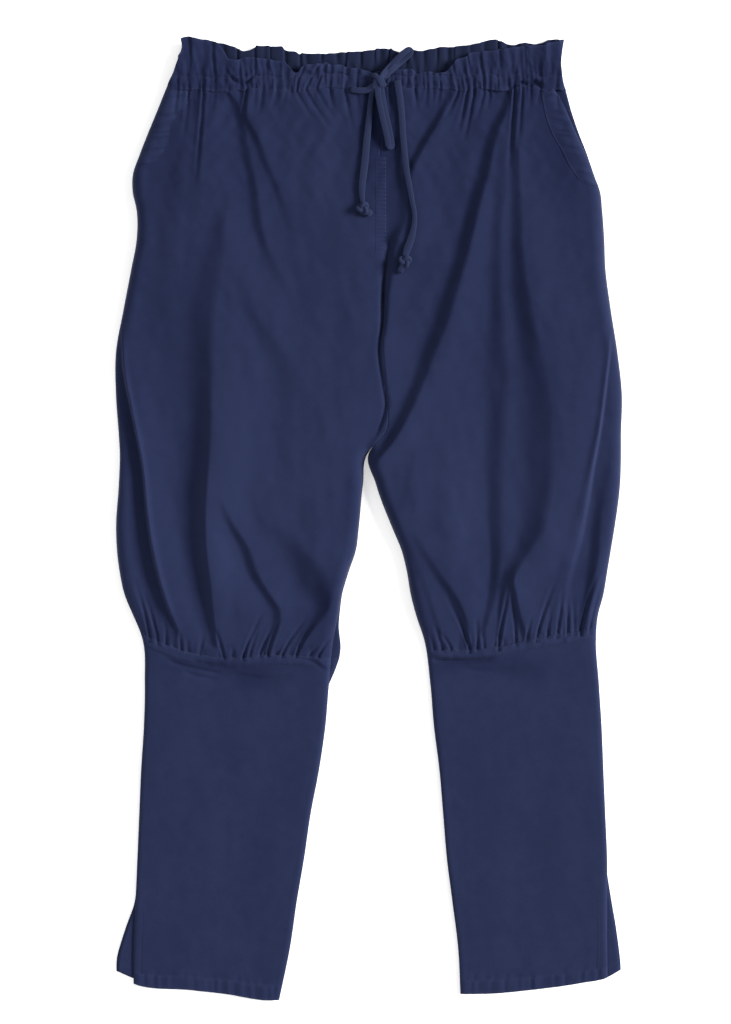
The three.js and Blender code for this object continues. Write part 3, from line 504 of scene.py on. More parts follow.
def front_lift(side, x, row):
    """Height of the front's upper face above its side edges, in the legs."""
    h = level(x, row)
    outer = np.abs(x - outline(side + "_outer", h))
    above_crotch = np.maximum(0, h - CROTCH)
    inner = np.hypot(x - outline(side + "_inner", np.minimum(h, CROTCH)), above_crotch)
    edges = rounded(outer / EDGE_ROUND) * rounded(inner / EDGE_ROUND)
    lift = straight(FULLNESS, 1, row + 0 * x)
    for rows in FOLDS.values():
        lift -= FOLD_SCALE * fold_depth(rows, x, h)
    lift -= groove(SEAM_GROOVE, x, h)
    lift -= lip_drop(LIPS[side], x, h, side)
    below_waist = np.maximum(0, WAIST_SEAM - row)
    lift -= crease_depth(WAIST_CREASES, x, below_waist)
    above_knee = np.where(row >= KNEE_SEAM, row - KNEE_SEAM, 5 * (row - KNEE_SEAM))
    lift -= crease_depth(KNEE_CREASES[side], x, np.abs(above_knee))
    lift -= line_creases(
        KNEE_CREASE_LINES[side], x, lambda far: above_knee / (far - KNEE_CREASE_FOOT)
    )
    lift -= line_creases(WAIST_CREASE_LINES, x, lambda far: below_waist / (WAIST_SEAM - far))
    full = smooth((row - KNEE_SEAM) / 60)
    rumple = 0.8 * soft_noise(x, h, 24, 80, 2) + 0.3 * soft_noise(x + 0.3 * h, h, 12, 30, 4)
    hips = smooth((row - 800) / 130)
    rumple += hips * 0.55 * soft_noise(x - 0.5 * h, h, 10, 26, 71)
    rumple += hips * 0.3 * soft_noise(x + 0.6 * h, h, 8, 13, 73)
    rumple += 0.22 * soft_noise(x, h, 9, 16, 75)
    lift += rumple * (0.35 + 0.65 * full)
    # The calf's own soft creases, the seam allowance under its top edge, and the turned hem
    below = KNEE_SEAM - row
    calf = smooth(below / 12)
    lift += calf * 0.4 * soft_noise(x, h, 60, 30, 6)
    for rows in CALF_CREASES:
        lift -= cross_crease(rows, x, h)
    for *where, deep in CALF_HOLLOWS:
        lift -= deep * spot(x, h, *where) * calf
    allowance = smooth(below / 1.5) * smooth((10.5 - below) / 1.2)
    pucker = 0.8 + 0.45 * soft_noise(x, 0 * x, 3.4, 10, 17)
    lift += 0.9 * allowance * pucker
    hem = smooth((16 - row) / 1.2)
    lift += 0.7 * hem * (1 + 1.0 * soft_noise(x, 0.3 * row, 3.6, 9, 19))
    lift += 0.5 * bell(row - 19, 3.5) * soft_noise(x, 0 * x, 4.4, 9, 20)
    inner = np.abs(x - outline(side + "_inner", np.minimum(h, CROTCH)))
    for edge in (np.abs(x - outline(side + "_outer", h)), inner):
        lift += 0.5 * calf * bell(edge - 4, 2.6)
    return np.maximum(0, lift) * edges


def front_top(side, x, row):
    return EDGE_TOP + front_lift(side, x, row) + back_rise(row)


def back_rise(row):
    """The back's gathers lift the front at the waist."""
    return 2.2 * smooth((row - 930) / 55)


BAND_MIDDLE = -3.5
BAND_HALF = 214


def band_top(x, h):
    """Upper face of the front half of the waistband."""
    across = (x - BAND_MIDDLE) / BAND_HALF
    casing = bell(h - 990, 5.2) * (1 + 0.4 * soft_noise(x, 0 * x, 23, 9, 51))
    seam = bell(h - WAIST_SEAM, 1.6)
    drawn = 1 + 0.7 * soft_noise(x, 0 * x, 13, 9, 53)
    stitched = bell(h - CASING_STITCH, 1.5) * drawn
    heading = smooth((h - CASING_STITCH) / 12)
    above = np.maximum(0, h - WAIST_SEAM)
    from_seam = smooth(above / 9)
    lift = 5.9 + 1.6 * casing + 0.1 * seam - 1.1 * stitched - 0.4 * heading
    cut = line_creases(WAIST_CREASE_LINES, x, lambda far: above / 46)
    cut = cut + crease_depth(WAIST_CREASES, x, 0.7 * above)
    casing_depth = crease_depth(CASING_CREASES, x, np.zeros_like(x))
    cut = cut + casing_depth * (1 - heading) * (0.2 + 0.8 * from_seam)
    ruffled = crease_depth(RUFFLE_CREASES, x, np.abs(h - CASING_STITCH))
    cut = cut + ruffled * (0.3 + 0.7 * heading)
    lift = lift - 2.7 * np.tanh(cut / 2.7)
    for rows in BAND_CREASES:
        lift = lift - cross_crease(rows, x, h)
    lift = lift + 0.35 * soft_noise(x + 0.2 * h, h, 3.4, 6, 57)
    lift = lift + 1.6 * heading * soft_noise(x, h, 14, 60, 9)
    edges = rounded((1 - np.abs(across)) * BAND_HALF / 9)
    return EDGE_TOP + back_rise(h) + np.maximum(0, lift) * edges


def back_floor(side, x, row):
    """Lower face of the back: it lies flat but for the grooves of its creases."""
    if row is None:
        return np.zeros_like(x)
    waist = crease_depth(BACK_WAIST_CREASES, x, np.maximum(0, WAIST_SEAM - row))
    above_knee = np.where(row >= KNEE_SEAM, row - KNEE_SEAM, 6 * (KNEE_SEAM - row))
    knee = crease_depth(BACK_KNEE_CREASES[side], x, above_knee)
    seam = 0.5 * bell(x - outline("left_inner", np.maximum(row, 610)), 1.2)
    seam = seam * (row > 600)
    return waist + knee + seam


# Camera straight above, framed as in the photo
PHOTO_SCALE = 1.08  # millimetres of cloth for one of the photo's pixels
PHOTO_HEIGHT = 1024
CAMERA_AT = (-0.0038, 0.007, 3.2)
SENSOR = 36
camera_data = bpy.data.cameras.new("camera")
camera_data.sensor_width = SENSOR
camera_data.lens = SENSOR * CAMERA_AT[2] / (PHOTO_HEIGHT * PHOTO_SCALE * MM)
camera = bpy.data.objects.new("camera", camera_data)
camera.location = CAMERA_AT
bpy.context.scene.collection.objects.link(camera)
bpy.context.scene.camera = camera


# Materials


def new_group(name, inputs, outputs):
    group = bpy.data.node_groups.new(name, "ShaderNodeTree")
    for socket, kind, value in inputs:
        made = group.interface.new_socket(socket, in_out="INPUT", socket_type=kind)
        made.default_value = value
    for socket, kind in outputs:
        group.interface.new_socket(socket, in_out="OUTPUT", socket_type=kind)
    return group, group.nodes.new("NodeGroupInput"), group.nodes.new("NodeGroupOutput")


def math_node(tree, operation, a, b=None):
    node = tree.nodes.new("ShaderNodeMath")
    node.operation = operation
    for socket, value in zip(node.inputs, (a, b)):
        if value is None:
            continue
        if isinstance(value, (int, float)):
            socket.default_value = value
        else:
            tree.links.new(value, socket)
    return node.outputs[0]


def fill_in(node, values):
    for socket, value in values.items():
        node.inputs[socket].default_value = value


def noise_node(tree, place, scale, detail, roughness=0.5):
    node = tree.nodes.new("ShaderNodeTexNoise")
    fill_in(node, {"Scale": scale, "Detail": detail, "Roughness": roughness})
    tree.links.new(place, node.inputs["Vector"])
    return node.outputs[0]


def weave_group():
    """Plain weave: threads each way that pass over and under each other, with uneven thickness."""
    group, given, made = new_group(
        "plain weave",
        [("Threads a metre", "NodeSocketFloat", 1500.0)],
        [("Height", "NodeSocketFloat")],
    )
    place = group.nodes.new("ShaderNodeUVMap").outputs[0]
    parts = group.nodes.new("ShaderNodeSeparateXYZ")
    group.links.new(place, parts.inputs[0])
    waves = []
    for along in parts.outputs[:2]:
        turns = math_node(group, "MULTIPLY", along, given.outputs[0])
        waves.append(math_node(group, "SINE", math_node(group, "MULTIPLY", turns, math.pi)))
    stretched = group.nodes.new("ShaderNodeMapping")
    fill_in(stretched, {"Scale": (1, 0.12, 1)})
    group.links.new(place, stretched.inputs["Vector"])
    slubs = noise_node(group, stretched.outputs[0], 900, 3)
    height = math_node(group, "ADD", math_node(group, "MULTIPLY", *waves), slubs)
    group.links.new(height, made.inputs["Height"])
    return group


def fade_and_shade_group():
    """Washed cotton: soft clouds of lighter dye, and cloth paler with wear and darker with painted
    shade, as the attribute says.
    """
    group, given, made = new_group(
        "washed fade and painted shade",
        [
            ("Dye", "NodeSocketColor", (0.03, 0.04, 0.1, 1)),
            ("Faded", "NodeSocketColor", (0.06, 0.07, 0.15, 1)),
            ("Clouds", "NodeSocketFloat", 0.3),
            ("Wear and shade", "NodeSocketFloat", 0.6),
        ],
        [("Color", "NodeSocketColor"), ("Roughness", "NodeSocketFloat")],
    )
    place = group.nodes.new("ShaderNodeTexCoord").outputs["Object"]
    cloud = noise_node(group, place, 14, 6, 0.62)
    blotch = noise_node(group, place, 95, 4)
    grain = noise_node(group, place, 420, 2)
    wear_and_shade = group.nodes.new("ShaderNodeAttribute")
    wear_and_shade.attribute_name = "wear_and_shade"
    patches = math_node(group, "ADD", cloud, blotch)
    clouds = math_node(group, "MULTIPLY", patches, given.outputs["Clouds"])
    speckle = math_node(group, "MULTIPLY", grain, given.outputs["Clouds"])
    worn_and_shaded = math_node(group, "MULTIPLY", wear_and_shade.outputs["Fac"], given.outputs["Wear and shade"])
    both = math_node(group, "ADD", math_node(group, "ADD", clouds, speckle), worn_and_shaded)
    mix = group.nodes.new("ShaderNodeMix")
    mix.data_type = "RGBA"
    mix.clamp_factor = True
    rough = math_node(group, "ADD", 0.82, math_node(group, "MULTIPLY", grain, 0.14))
    for source, target in (
        (both, mix.inputs["Factor"]),
        (given.outputs["Dye"], mix.inputs[6]),
        (given.outputs["Faded"], mix.inputs[7]),
        (mix.outputs[2], made.inputs["Color"]),
        (rough, made.inputs["Roughness"]),
    ):
        group.links.new(source, target)
    return group


WEAVE = weave_group()
FADE_AND_SHADE = fade_and_shade_group()
THREADS_A_METRE = 1500
BUMP_DISTANCE = 0.0002
SHEEN = {
    "Specular IOR Level": 0.15,
    "Sheen Weight": 0.05,
    "Sheen Roughness": 0.5,
    "Sheen Tint": (0.55, 0.62, 1.0, 1),
}


def add_group_node(tree, group, values):
    node = tree.nodes.new("ShaderNodeGroup")
    node.node_tree = group
    fill_in(node, values)
    return node


def cotton(name, dye, faded, clouds, wear_and_shade, bump, threads=THREADS_A_METRE):
    material = bpy.data.materials.new(name)
    material.use_nodes = True
    tree = material.node_tree
    shader = tree.nodes["Principled BSDF"]
    dyes = {"Dye": (*dye, 1), "Faded": (*faded, 1), "Clouds": clouds, "Wear and shade": wear_and_shade}
    # The colour holds the attribute's painted shade as well as the fade
    fade = add_group_node(tree, FADE_AND_SHADE, dyes)
    weave = add_group_node(tree, WEAVE, {"Threads a metre": threads})
    raised = tree.nodes.new("ShaderNodeBump")
    fill_in(raised, {"Strength": bump, "Distance": BUMP_DISTANCE})
    tree.links.new(weave.outputs["Height"], raised.inputs["Height"])
    tree.links.new(raised.outputs[0], shader.inputs["Normal"])
    tree.links.new(fade.outputs["Color"], shader.inputs["Base Color"])
    tree.links.new(fade.outputs["Roughness"], shader.inputs["Roughness"])
    fill_in(shader, SHEEN)
    return material


NAVY = (0.0034, 0.0068, 0.0302)
NAVY_FADED = (0.0100, 0.0152, 0.0480)
COTTON = cotton("navy cotton", NAVY, NAVY_FADED, 0.5, 0.5, 0.35)
# A darker copy of the navy cotton for the back of the waistband, whose inner face shows above the
# front's: less faded dye inside, and painted shade
INSIDE_WITH_PAINTED_SHADE = cotton("navy cotton inside with painted shade", (0.0044, 0.0080, 0.0275), NAVY, 0.35, 0.7, 0.35)
TRIM = cotton("navy stitched band", NAVY, NAVY_FADED, 0.4, 0.9, 0.4)
CORD = cotton("navy drawstring", (0.0068, 0.0106, 0.0345), (0.0112, 0.0166, 0.0475), 0.4, 0.8, 0.5)
THREAD = cotton("navy thread", (0.0104, 0.0154, 0.0455), (0.0161, 0.0223, 0.0600), 0.3, 0.5, 0.2, 2500)


# Mesh helpers


def add_attribute(mesh, name, values):
    attribute = mesh.attributes.new(name, "FLOAT", "POINT")
    attribute.data.foreach_set("value", np.asarray(values, np.float32))


def lay_uv(mesh, u, v):
    """UV in metres on the flat cloth, so a weave keeps its real size."""
    layer = mesh.uv_layers.new(name="cloth")
    corner = np.empty(len(mesh.loops), np.int32)
    mesh.loops.foreach_get("vertex_index", corner)
    uv = np.stack([u[corner], v[corner]], axis=1).astype(np.float32)
    layer.data.foreach_set("uv", uv.ravel())


def vertex_places(mesh):
    points = np.empty(len(mesh.vertices) * 3)
    mesh.vertices.foreach_get("co", points)
    return points.reshape(-1, 3)


def add_piece(name, bm, material):
    mesh = bpy.data.meshes.new(name)
    bm.to_mesh(mesh)
    bm.free()
    mesh.materials.append(material)
    mesh.polygons.foreach_set("use_smooth", np.ones(len(mesh.polygons), bool))
    piece = bpy.data.objects.new(name, mesh)
    bpy.context.scene.collection.objects.link(piece)
    return piece


def finish_piece(piece, slot, *nodes):
    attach(piece, "root")
    if nodes:
        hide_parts(*nodes)


def cloth(node, slot, grid, place, material, thick):
    """A sheet of cloth from a grid: place gives x, h, z in millimetres, and the wear and painted shade
    of its colour, for s, t.
    """
    columns, rows = grid
    bm = bmesh.new()
    bmesh.ops.create_grid(bm, x_segments=columns, y_segments=rows, size=0.5)
    piece = add_piece(node + "_cloth", bm, material)
    mesh = piece.data
    flat = vertex_places(mesh) + 0.5
    x, h, z, wear_and_shade = place(flat[:, 0], flat[:, 1])
    drawn_x, drawn_h = pulled(x, h)
    points = np.stack([drawn_x * MM, to_y(drawn_h), z * MM], axis=1)
    mesh.vertices.foreach_set("co", points.ravel())
    lay_uv(mesh, x * MM, h * MM)
    add_attribute(mesh, "wear_and_shade", wear_and_shade)
    wall = piece.modifiers.new("thickness", "SOLIDIFY")
    wall.thickness = thick * MM
    wall.offset = -1
    mesh.update()
    finish_piece(piece, slot, node)
    return piece


# Panels

EVEN = 1e-6  # the share of a piece's width that still counts as its edge


def panel_edges(side, row, face):
    outer = outline(side + "_outer", level(outline(side + "_outer", row), row))
    inner = outline(side + "_inner", level(outline(side + "_inner", row), row))
    if face == "back":
        h = level(outer, row)
        column = 1 if side == "right" else 3
        outer = outer + AWAY[side] * interpolate(BACK_SHOWS, column, h)
        if side == "right":
            inner = inner + interpolate(BACK_SHOWS, 2, h)
    elif side == "left":
        outer = outer - straight(POCKET_MOUTH, 1, row) * (row > POCKET_MOUTH[0][0])
    return (outer, inner) if side == "right" else (inner, outer)


# Paler patches, and darker ones of painted shade, from the table
def pale_and_painted_shade(x, h):
    total = np.zeros_like(x)
    for *where, amount in PALE_AND_PAINTED_SHADE_PATCHES:
        total += amount * spot(x, h, *where)
    return total


def evened(density, places, count):
    """Places for count + 1 columns or rows, closer together where the density is high."""
    run = np.r_[0, np.cumsum((density[1:] + density[:-1]) / 2 * np.diff(places))]
    return np.interp(np.linspace(0, run[-1], count + 1), run, places)


def row_places(low_row, high_row, count):
    at = np.linspace(low_row, high_row, 800)
    density = 1 + 1.6 * bell(at - KNEE_SEAM, 40)
    density += 1.2 * bell(at - WAIST_SEAM, 40)
    density += 1.0 * bell(at - 8, 14)
    return evened(density, at, count)


def column_places(side, low, high, row, count):
    """The x of each column of a row, closer together along the folds."""
    at = np.linspace(low, high, 500)
    h = level(at, np.full_like(at, row))
    density = np.ones_like(at)
    for rows in FOLDS.values():
        across = at - interpolate(rows, 1, h)
        density += 0.22 * straight(rows, 2, h) * between(rows, h, 30, 30) * bell(across, 6)
    lip = at - interpolate(LIPS[side], 1, h)
    density += 0.35 * straight(LIPS[side], 2, h) * bell(lip, 4)
    return evened(density, at, count)


def leg_panel(node, side, face, low_row, high_row, grid):
    columns, rows = grid

    def place(s, t):
        i, j = np.round(s * columns).astype(int), np.round(t * rows).astype(int)
        rows_at = row_places(low_row, high_row, rows)
        lows, highs = panel_edges(side, rows_at, face)
        xs = [column_places(side, *ends, columns) for ends in zip(lows, highs, rows_at)]
        row, x = rows_at[j], np.array(xs)[j, i]
        low, high = lows[j], highs[j]
        h = level(x, row)
        if face == "back" and side == "right":
            h = h + 5.5 * smooth((-244 - x) / 8) * smooth((60 - row) / 60)
        if face == "front":
            z = front_top(side, x, row)
            if low_row > KNEE_SEAM - 2:
                z = z - 0.4 * smooth((KNEE_SEAM - row) / 0.6)
        else:
            z = back_floor(side, x, row) + BACK_TOP
        wear_and_shade = 0.7 * bell(row - high_row, 3) + 0.8 * bell(row - low_row, 2)
        wear_and_shade += 0.7 * bell(x - low, 4) + 0.7 * bell(high - x, 4)
        # The cloth is darker towards the waist
        wear_and_shade -= 0.5 * smooth((row - 540) / 220) + 0.4 * smooth((row - 820) / 120)
        wear_and_shade += 0.5 * bell(row - HEM_STITCH, 2) + 0.5 * bell(row - KNEE_SEAM + 5, 5)
        if face == "front":
            # Paler on the highest folds: partly wear along their ridges, partly painted highlight
            high_up = np.clip(front_lift(side, x, row) / 14, 0, 1)
            # The table's paler patches and its patches of painted shade
            wear_and_shade += 0.25 * high_up**3 + pale_and_painted_shade(x, h)
        return x, h, z, wear_and_shade

    return cloth(node, "navy_cotton", grid, place, COTTON, THICK[face])


THICK = {"front": CLOTH_THICK, "back": BACK_TOP}
GAP = 0.1  # between pieces that are sewn together
# Low edges of the thighs above the knee seam: the front's is tucked under the calf's top.
THIGH_LOW = {"front": -1.2, "back": -0.09}
for side in SIDES:
    for face, thigh_grid, calf_grid in (
        ("front", (148, 300), (84, 160)),
        ("back", (92, 110), (42, 80)),
    ):
        for part, low, high, grid in (
            ("thigh", KNEE_SEAM + THIGH_LOW[face], WAIST_SEAM - GAP, thigh_grid),
            ("calf", 0, KNEE_SEAM - GAP, calf_grid),
        ):
            node = f"{part}_{face}_{side}"
            leg_panel(node, side, face, low, high, grid)


BAND_LAP = 1.6  # how far the waistband laps over the panels


def waistband(face):
    ruffle = RUFFLE_FRONT if face == "front" else RUFFLE_BACK

    def place(s, t):
        low_x, high_x = outline("right_outer", 1022), outline("left_outer", 1022)
        across = low_x + (high_x - low_x) * s
        around = [straight(ruffle, 1, across + step) for step in (-3, -1.5, 0, 1.5, 3)]
        top = np.mean(around, axis=0)
        top = top + 0.9 * soft_noise(across, 0 * across, 5, 9, 33 if face == "front" else 35)
        h = WAIST_SEAM - BAND_LAP + (top - WAIST_SEAM + BAND_LAP) * t
        low, high = outline("right_outer", h), outline("left_outer", h)
        x = low + (high - low) * s
        heading = smooth((h - CASING_STITCH) / 25)
        if face == "front":
            z = band_top(x, h)
            # The table's paler patches and its patches of painted shade
            patches = pale_and_painted_shade(x, h)
        else:
            h = np.maximum(h, WAIST_SEAM + GAP)
            grooves = crease_depth(BACK_WAIST_CREASES, x, np.zeros_like(x))
            flare = np.minimum(crease_depth(BACK_RUFFLE_CREASES, x, np.zeros_like(x)), 3.4)
            z = BACK_TOP + grooves * (1 - heading) + heading * (3.4 - flare)
            patches = 0
        sway = 1.6 * heading * np.sin(x / 3.1 + 2 * np.sin(x / 17))
        wear_and_shade = 1.2 * bell(top - h, 2.2) + 0.5 * bell(h - CASING_STITCH, 1.5)
        wear_and_shade = wear_and_shade + 0.5 * bell(h - WAIST_SEAM, 2) - 0.7 + patches
        inside = (s > EVEN) & (s < 1 - EVEN)
        return x + sway * inside, h, z, wear_and_shade

    # The back of the waistband takes the darker cotton, partly painted shade
    grid, material = ((470, 36), COTTON) if face == "front" else ((340, 28), INSIDE_WITH_PAINTED_SHADE)
    return cloth("waistband_" + face, "navy_cotton", grid, place, material, THICK[face])


for face in ("back", "front"):
    waistband(face)


# Trim on the panels


PAST_RUFFLE = 5  # height of the back ruffle, where it shows past the front one


def cloth_top(x, h):
    """Height of the highest cloth at x, h, in the upper part of the garment."""
    x, h = np.broadcast_arrays(np.asarray(x, float), np.asarray(h, float))
    side_tops = [front_top(side, x, h) for side in SIDES]
    thigh = np.where(x < outline("left_inner", h), *side_tops)
    front_edge = straight(RUFFLE_FRONT, 1, x)
    band = np.where(h < front_edge, band_top(x, np.minimum(h, front_edge)), PAST_RUFFLE)
    return np.where(h > WAIST_SEAM, band, thigh)


def rest_height(x, h, reach):
    """The highest that the cloth stands within the given reach of x, h."""
    around = [(i * reach / 2, j * reach / 2) for i in range(-2, 3) for j in range(-2, 3)]
    return np.max([cloth_top(x + i, h + j) for i, j in around], axis=0)


TRIM_THICK = 0.25


def pocket_band(side):
    rows = POCKET_STITCH[side]
    low, high = rows[0][0] + 1, WAIST_SEAM - 1
    away = AWAY[side]

    def place(s, t):
        h = low + (high - low) * t
        outer = outline(side + "_outer", h) - away * 0.6
        if side == "left":
            outer = outer - straight(POCKET_MOUTH, 1, h)
        inner = straight(rows, 1, h) - away * 1.5
        x = outer + (inner - outer) * s
        width = np.abs(inner - outer)
        phase = h * 0.3 + 0.05 * away * x + 1.3 * np.sin(h / 9.3) + 0.6 * np.sin(h / 3.1)
        pucker = 2 * np.abs(np.sin(phase)) ** 0.55 - 1
        middle = np.sin(math.pi * np.clip(s, 0, 1)) ** 0.6
        stitch = bell(width * (1 - s) - 1.5, 0.9)
        raised = middle**2.2 * (0.22 + 0.42 * pucker) - 0.15 * stitch
        rim = bell(width * np.minimum(s, 1 - s), 3.2)
        z = front_top(side, x, h) + np.maximum(0.05, raised) - 0.12 * rim
        wear_and_shade = 0.9 * bell(s * width, 2) + 0.5 * stitch + 0.3 * (pucker > 0.6) * middle
        # With the table's paler patches and its patches of painted shade, at 0.6
        return x, h, z, wear_and_shade + 0.6 * pale_and_painted_shade(x, h)

    return cloth("pocket_band_" + side, "navy_trim", (24, 130), place, TRIM, TRIM_THICK)


def fly_band():
    def place(s, t):
        h = FLY["low"] + (FLY["high"] - FLY["low"]) * t
        x = FLY["left"] + (FLY["right"] - FLY["left"]) * s
        pucker = np.sin(h * 1.45 + 0.5 * np.sin(h / 7))
        middle = np.sin(math.pi * np.clip(s, 0, 1)) ** 0.5
        ends = smooth(t * 30) * smooth((1 - t) * 30)
        rim = bell(6 * np.minimum(s, 1 - s)) + bell(50 * np.minimum(t, 1 - t))
        z = cloth_top(x, h) + 0.06 + ends * middle * (0.3 + 0.3 * pucker) - 0.12 * np.minimum(1, rim)
        wear_and_shade = 0.7 * bell(np.minimum(s, 1 - s) * 12, 1.5) + 0.3 * middle * (pucker > 0.4)
        # With the table's paler patches and its patches of painted shade, at 0.6
        return x, h, z, wear_and_shade + 0.6 * pale_and_painted_shade(x, h)

    return cloth("fly_band", "navy_trim", (14, 96), place, TRIM, TRIM_THICK)


pocket_bands = {side: pocket_band(side) for side in SIDES}
fly = fly_band()


# Drawstring


def smooth_path(points, step):
    """A smooth curve through the points, with points about one step apart."""
    points = np.array(points, float)
    chord = np.r_[0, np.cumsum(np.linalg.norm(np.diff(points, axis=0), axis=1) ** 0.5)]
    count = max(4, int(np.linalg.norm(np.diff(points, axis=0), axis=1).sum() / step))
    at = np.linspace(0, chord[-1], count)
    rows = [chord, *points.T]
    return np.stack([interpolate(rows, k, at) for k in (1, 2, 3)], axis=1)


def tube_into(bm, path, width, thick, sides=32):
    """A flat-sided cord round a path of points in millimetres, closed at both ends."""
    rings = len(path)
    widths = np.broadcast_to(width, rings)
    flat = widths.mean() > thick * 1.2
    made = bmesh.ops.create_grid(bm, x_segments=sides, y_segments=rings + 1, size=0.5)
    ahead = np.gradient(path, axis=0)
    ahead /= np.linalg.norm(ahead, axis=1)[:, None]
    across = np.cross(ahead, (0, 0, 1))
    across /= np.maximum(np.linalg.norm(across, axis=1), 1e-6)[:, None]
    over = np.cross(across, ahead)
    for vert in made["verts"]:
        s = vert.co.x + 0.5
        ring = round((vert.co.y + 0.5) * (rings + 1))
        i = min(max(ring - 1, 0), rings - 1)
        angle = -2 * math.pi * round(s * sides) / sides
        size = 0 if ring in (0, rings + 1) else 1
        if size and (i == 0 or i == rings - 1):
            size = 0.72
        c, n = math.cos(angle), math.sin(angle)
        edge = (abs(c) ** 4 + abs(n) ** 4) ** -0.25 if flat else 1
        # The stitched edge of the folded strip
        if flat and n > 0:
            edge -= 0.2 * bell(c - 0.5, 0.14)
        p = path[i] + size * edge * (widths[i] / 2 * c * across[i] + thick / 2 * n * over[i])
        vert.co = (p[0] * MM, to_y(p[1]), p[2] * MM)
    bmesh.ops.remove_doubles(bm, verts=made["verts"], dist=1e-6)


def tube_piece(name, node, parts):
    bm = bmesh.new()
    for path, width, thick in parts:
        tube_into(bm, path, width, thick)
    bmesh.ops.recalc_face_normals(bm, faces=bm.faces)
    piece = add_piece(name, bm, CORD)
    lay_uv(piece.data, *vertex_places(piece.data).T[:2])
    add_attribute(piece.data, "wear_and_shade", np.full(len(piece.data.vertices), 0.5))
    finish_piece(piece, "navy_cord", node)
    return piece


CORD_GAP = 0.25
ON_FLY_RISE = 0.9


def lay_over(route, thick, reach):
    """A route of x, h and extra height laid over the cloth."""
    x, h, extra = np.array(route, float).T
    fly_middle = (FLY["left"] + FLY["right"]) / 2
    on_fly = (np.abs(x - fly_middle) < 11) & (h < FLY["high"] + 4)
    z = rest_height(x, h, reach) + thick / 2 + CORD_GAP + ON_FLY_RISE * on_fly + extra
    return np.stack([x, h, z], axis=1)


CORD_WIDE = 7.1
CORD_THICK = 3.6
TIE_ROUTES = {
    "right": [
        (5.5, 985, 2.8), (3.0, 977, 1.4), (1.6, 967, 0.3), (0.2, 951.5, 0), (-2.6, 925, 0),
        (-4.9, 900, 0), (-7.6, 877, 0), (-7.4, 866, 0.4), (-6.6, 858, 1.4),
    ],
    "left": [
        (30.5, 991, -1.5), (31.2, 985, 0.6), (32.6, 976, 0.2), (34.6, 960, 0), (36.7, 929, 0),
        (40.6, 893, 0), (45.8, 864, 0), (49, 843, 0), (46.6, 826, 0), (40.6, 808, 0.6),
        (38.6, 801, 1.6),
    ],
}


# Width of the ties along their length: share of the length, share of the width.
TIE_WIDTHS = {
    "right": table((0, 0.76), (0.2, 0.82), (0.45, 1.05), (0.7, 1.12), (0.88, 0.9), (1, 0.6)),
    "left": table((0, 1.05), (0.3, 1.0), (0.55, 0.86), (0.75, 0.74), (0.92, 1.14), (1, 0.85)),
}


def overhand_knot(centre, size, turn, tail):
    """A cord's end knot: its crossing turns and the short cut end past them."""
    t = np.linspace(0, 2 * math.pi, 60)
    x = (np.sin(t) + 2 * np.sin(2 * t)) / 3 * size
    y = (np.cos(t) - 2 * np.cos(2 * t)) / 3 * size
    z = -np.sin(3 * t) * 1.7
    c, s = math.cos(turn), math.sin(turn)
    ring = np.stack([x * c - y * s, x * s + y * c, z], axis=1) + centre
    middle = np.array(centre) + (tail - np.array(centre)) * 0.5 + (0, 0, 0.6)
    end = smooth_path([centre, middle, tail], 1.5)
    return [(ring, 4.6, 4.2), (end, 6.6, 3.4)]


ties = {}
for side, turn, tail in (("right", 0.4, (9.5, -6.5)), ("left", 2.1, (-6, -12))):
    route = lay_over(TIE_ROUTES[side], CORD_THICK, 3.2)
    path = smooth_path(route, 2.2)
    widths = CORD_WIDE * interpolate(TIE_WIDTHS[side], 1, np.linspace(0, 1, len(path)))
    tie = tube_piece("tie_" + side, "tie_end_" + side, [(path, widths, CORD_THICK)])
    last = path[-1]
    floor_here = rest_height(last[0], last[1] - 4, 8)
    centre = np.array([last[0], last[1] - 5, max(last[2], floor_here + 4)])
    tail_at = centre + (tail[0], tail[1], -1.6)
    knot = tube_piece("knot_" + side, "end_knot_" + side, overhand_knot(centre, 5.6, turn, tail_at))
    ties[side] = (tie, path, knot)


KNOT_X = 10.5
KNOT_H = 990
STRAP = (3, 3)  # the bow's straps: thickness, and how far round them the cloth is felt


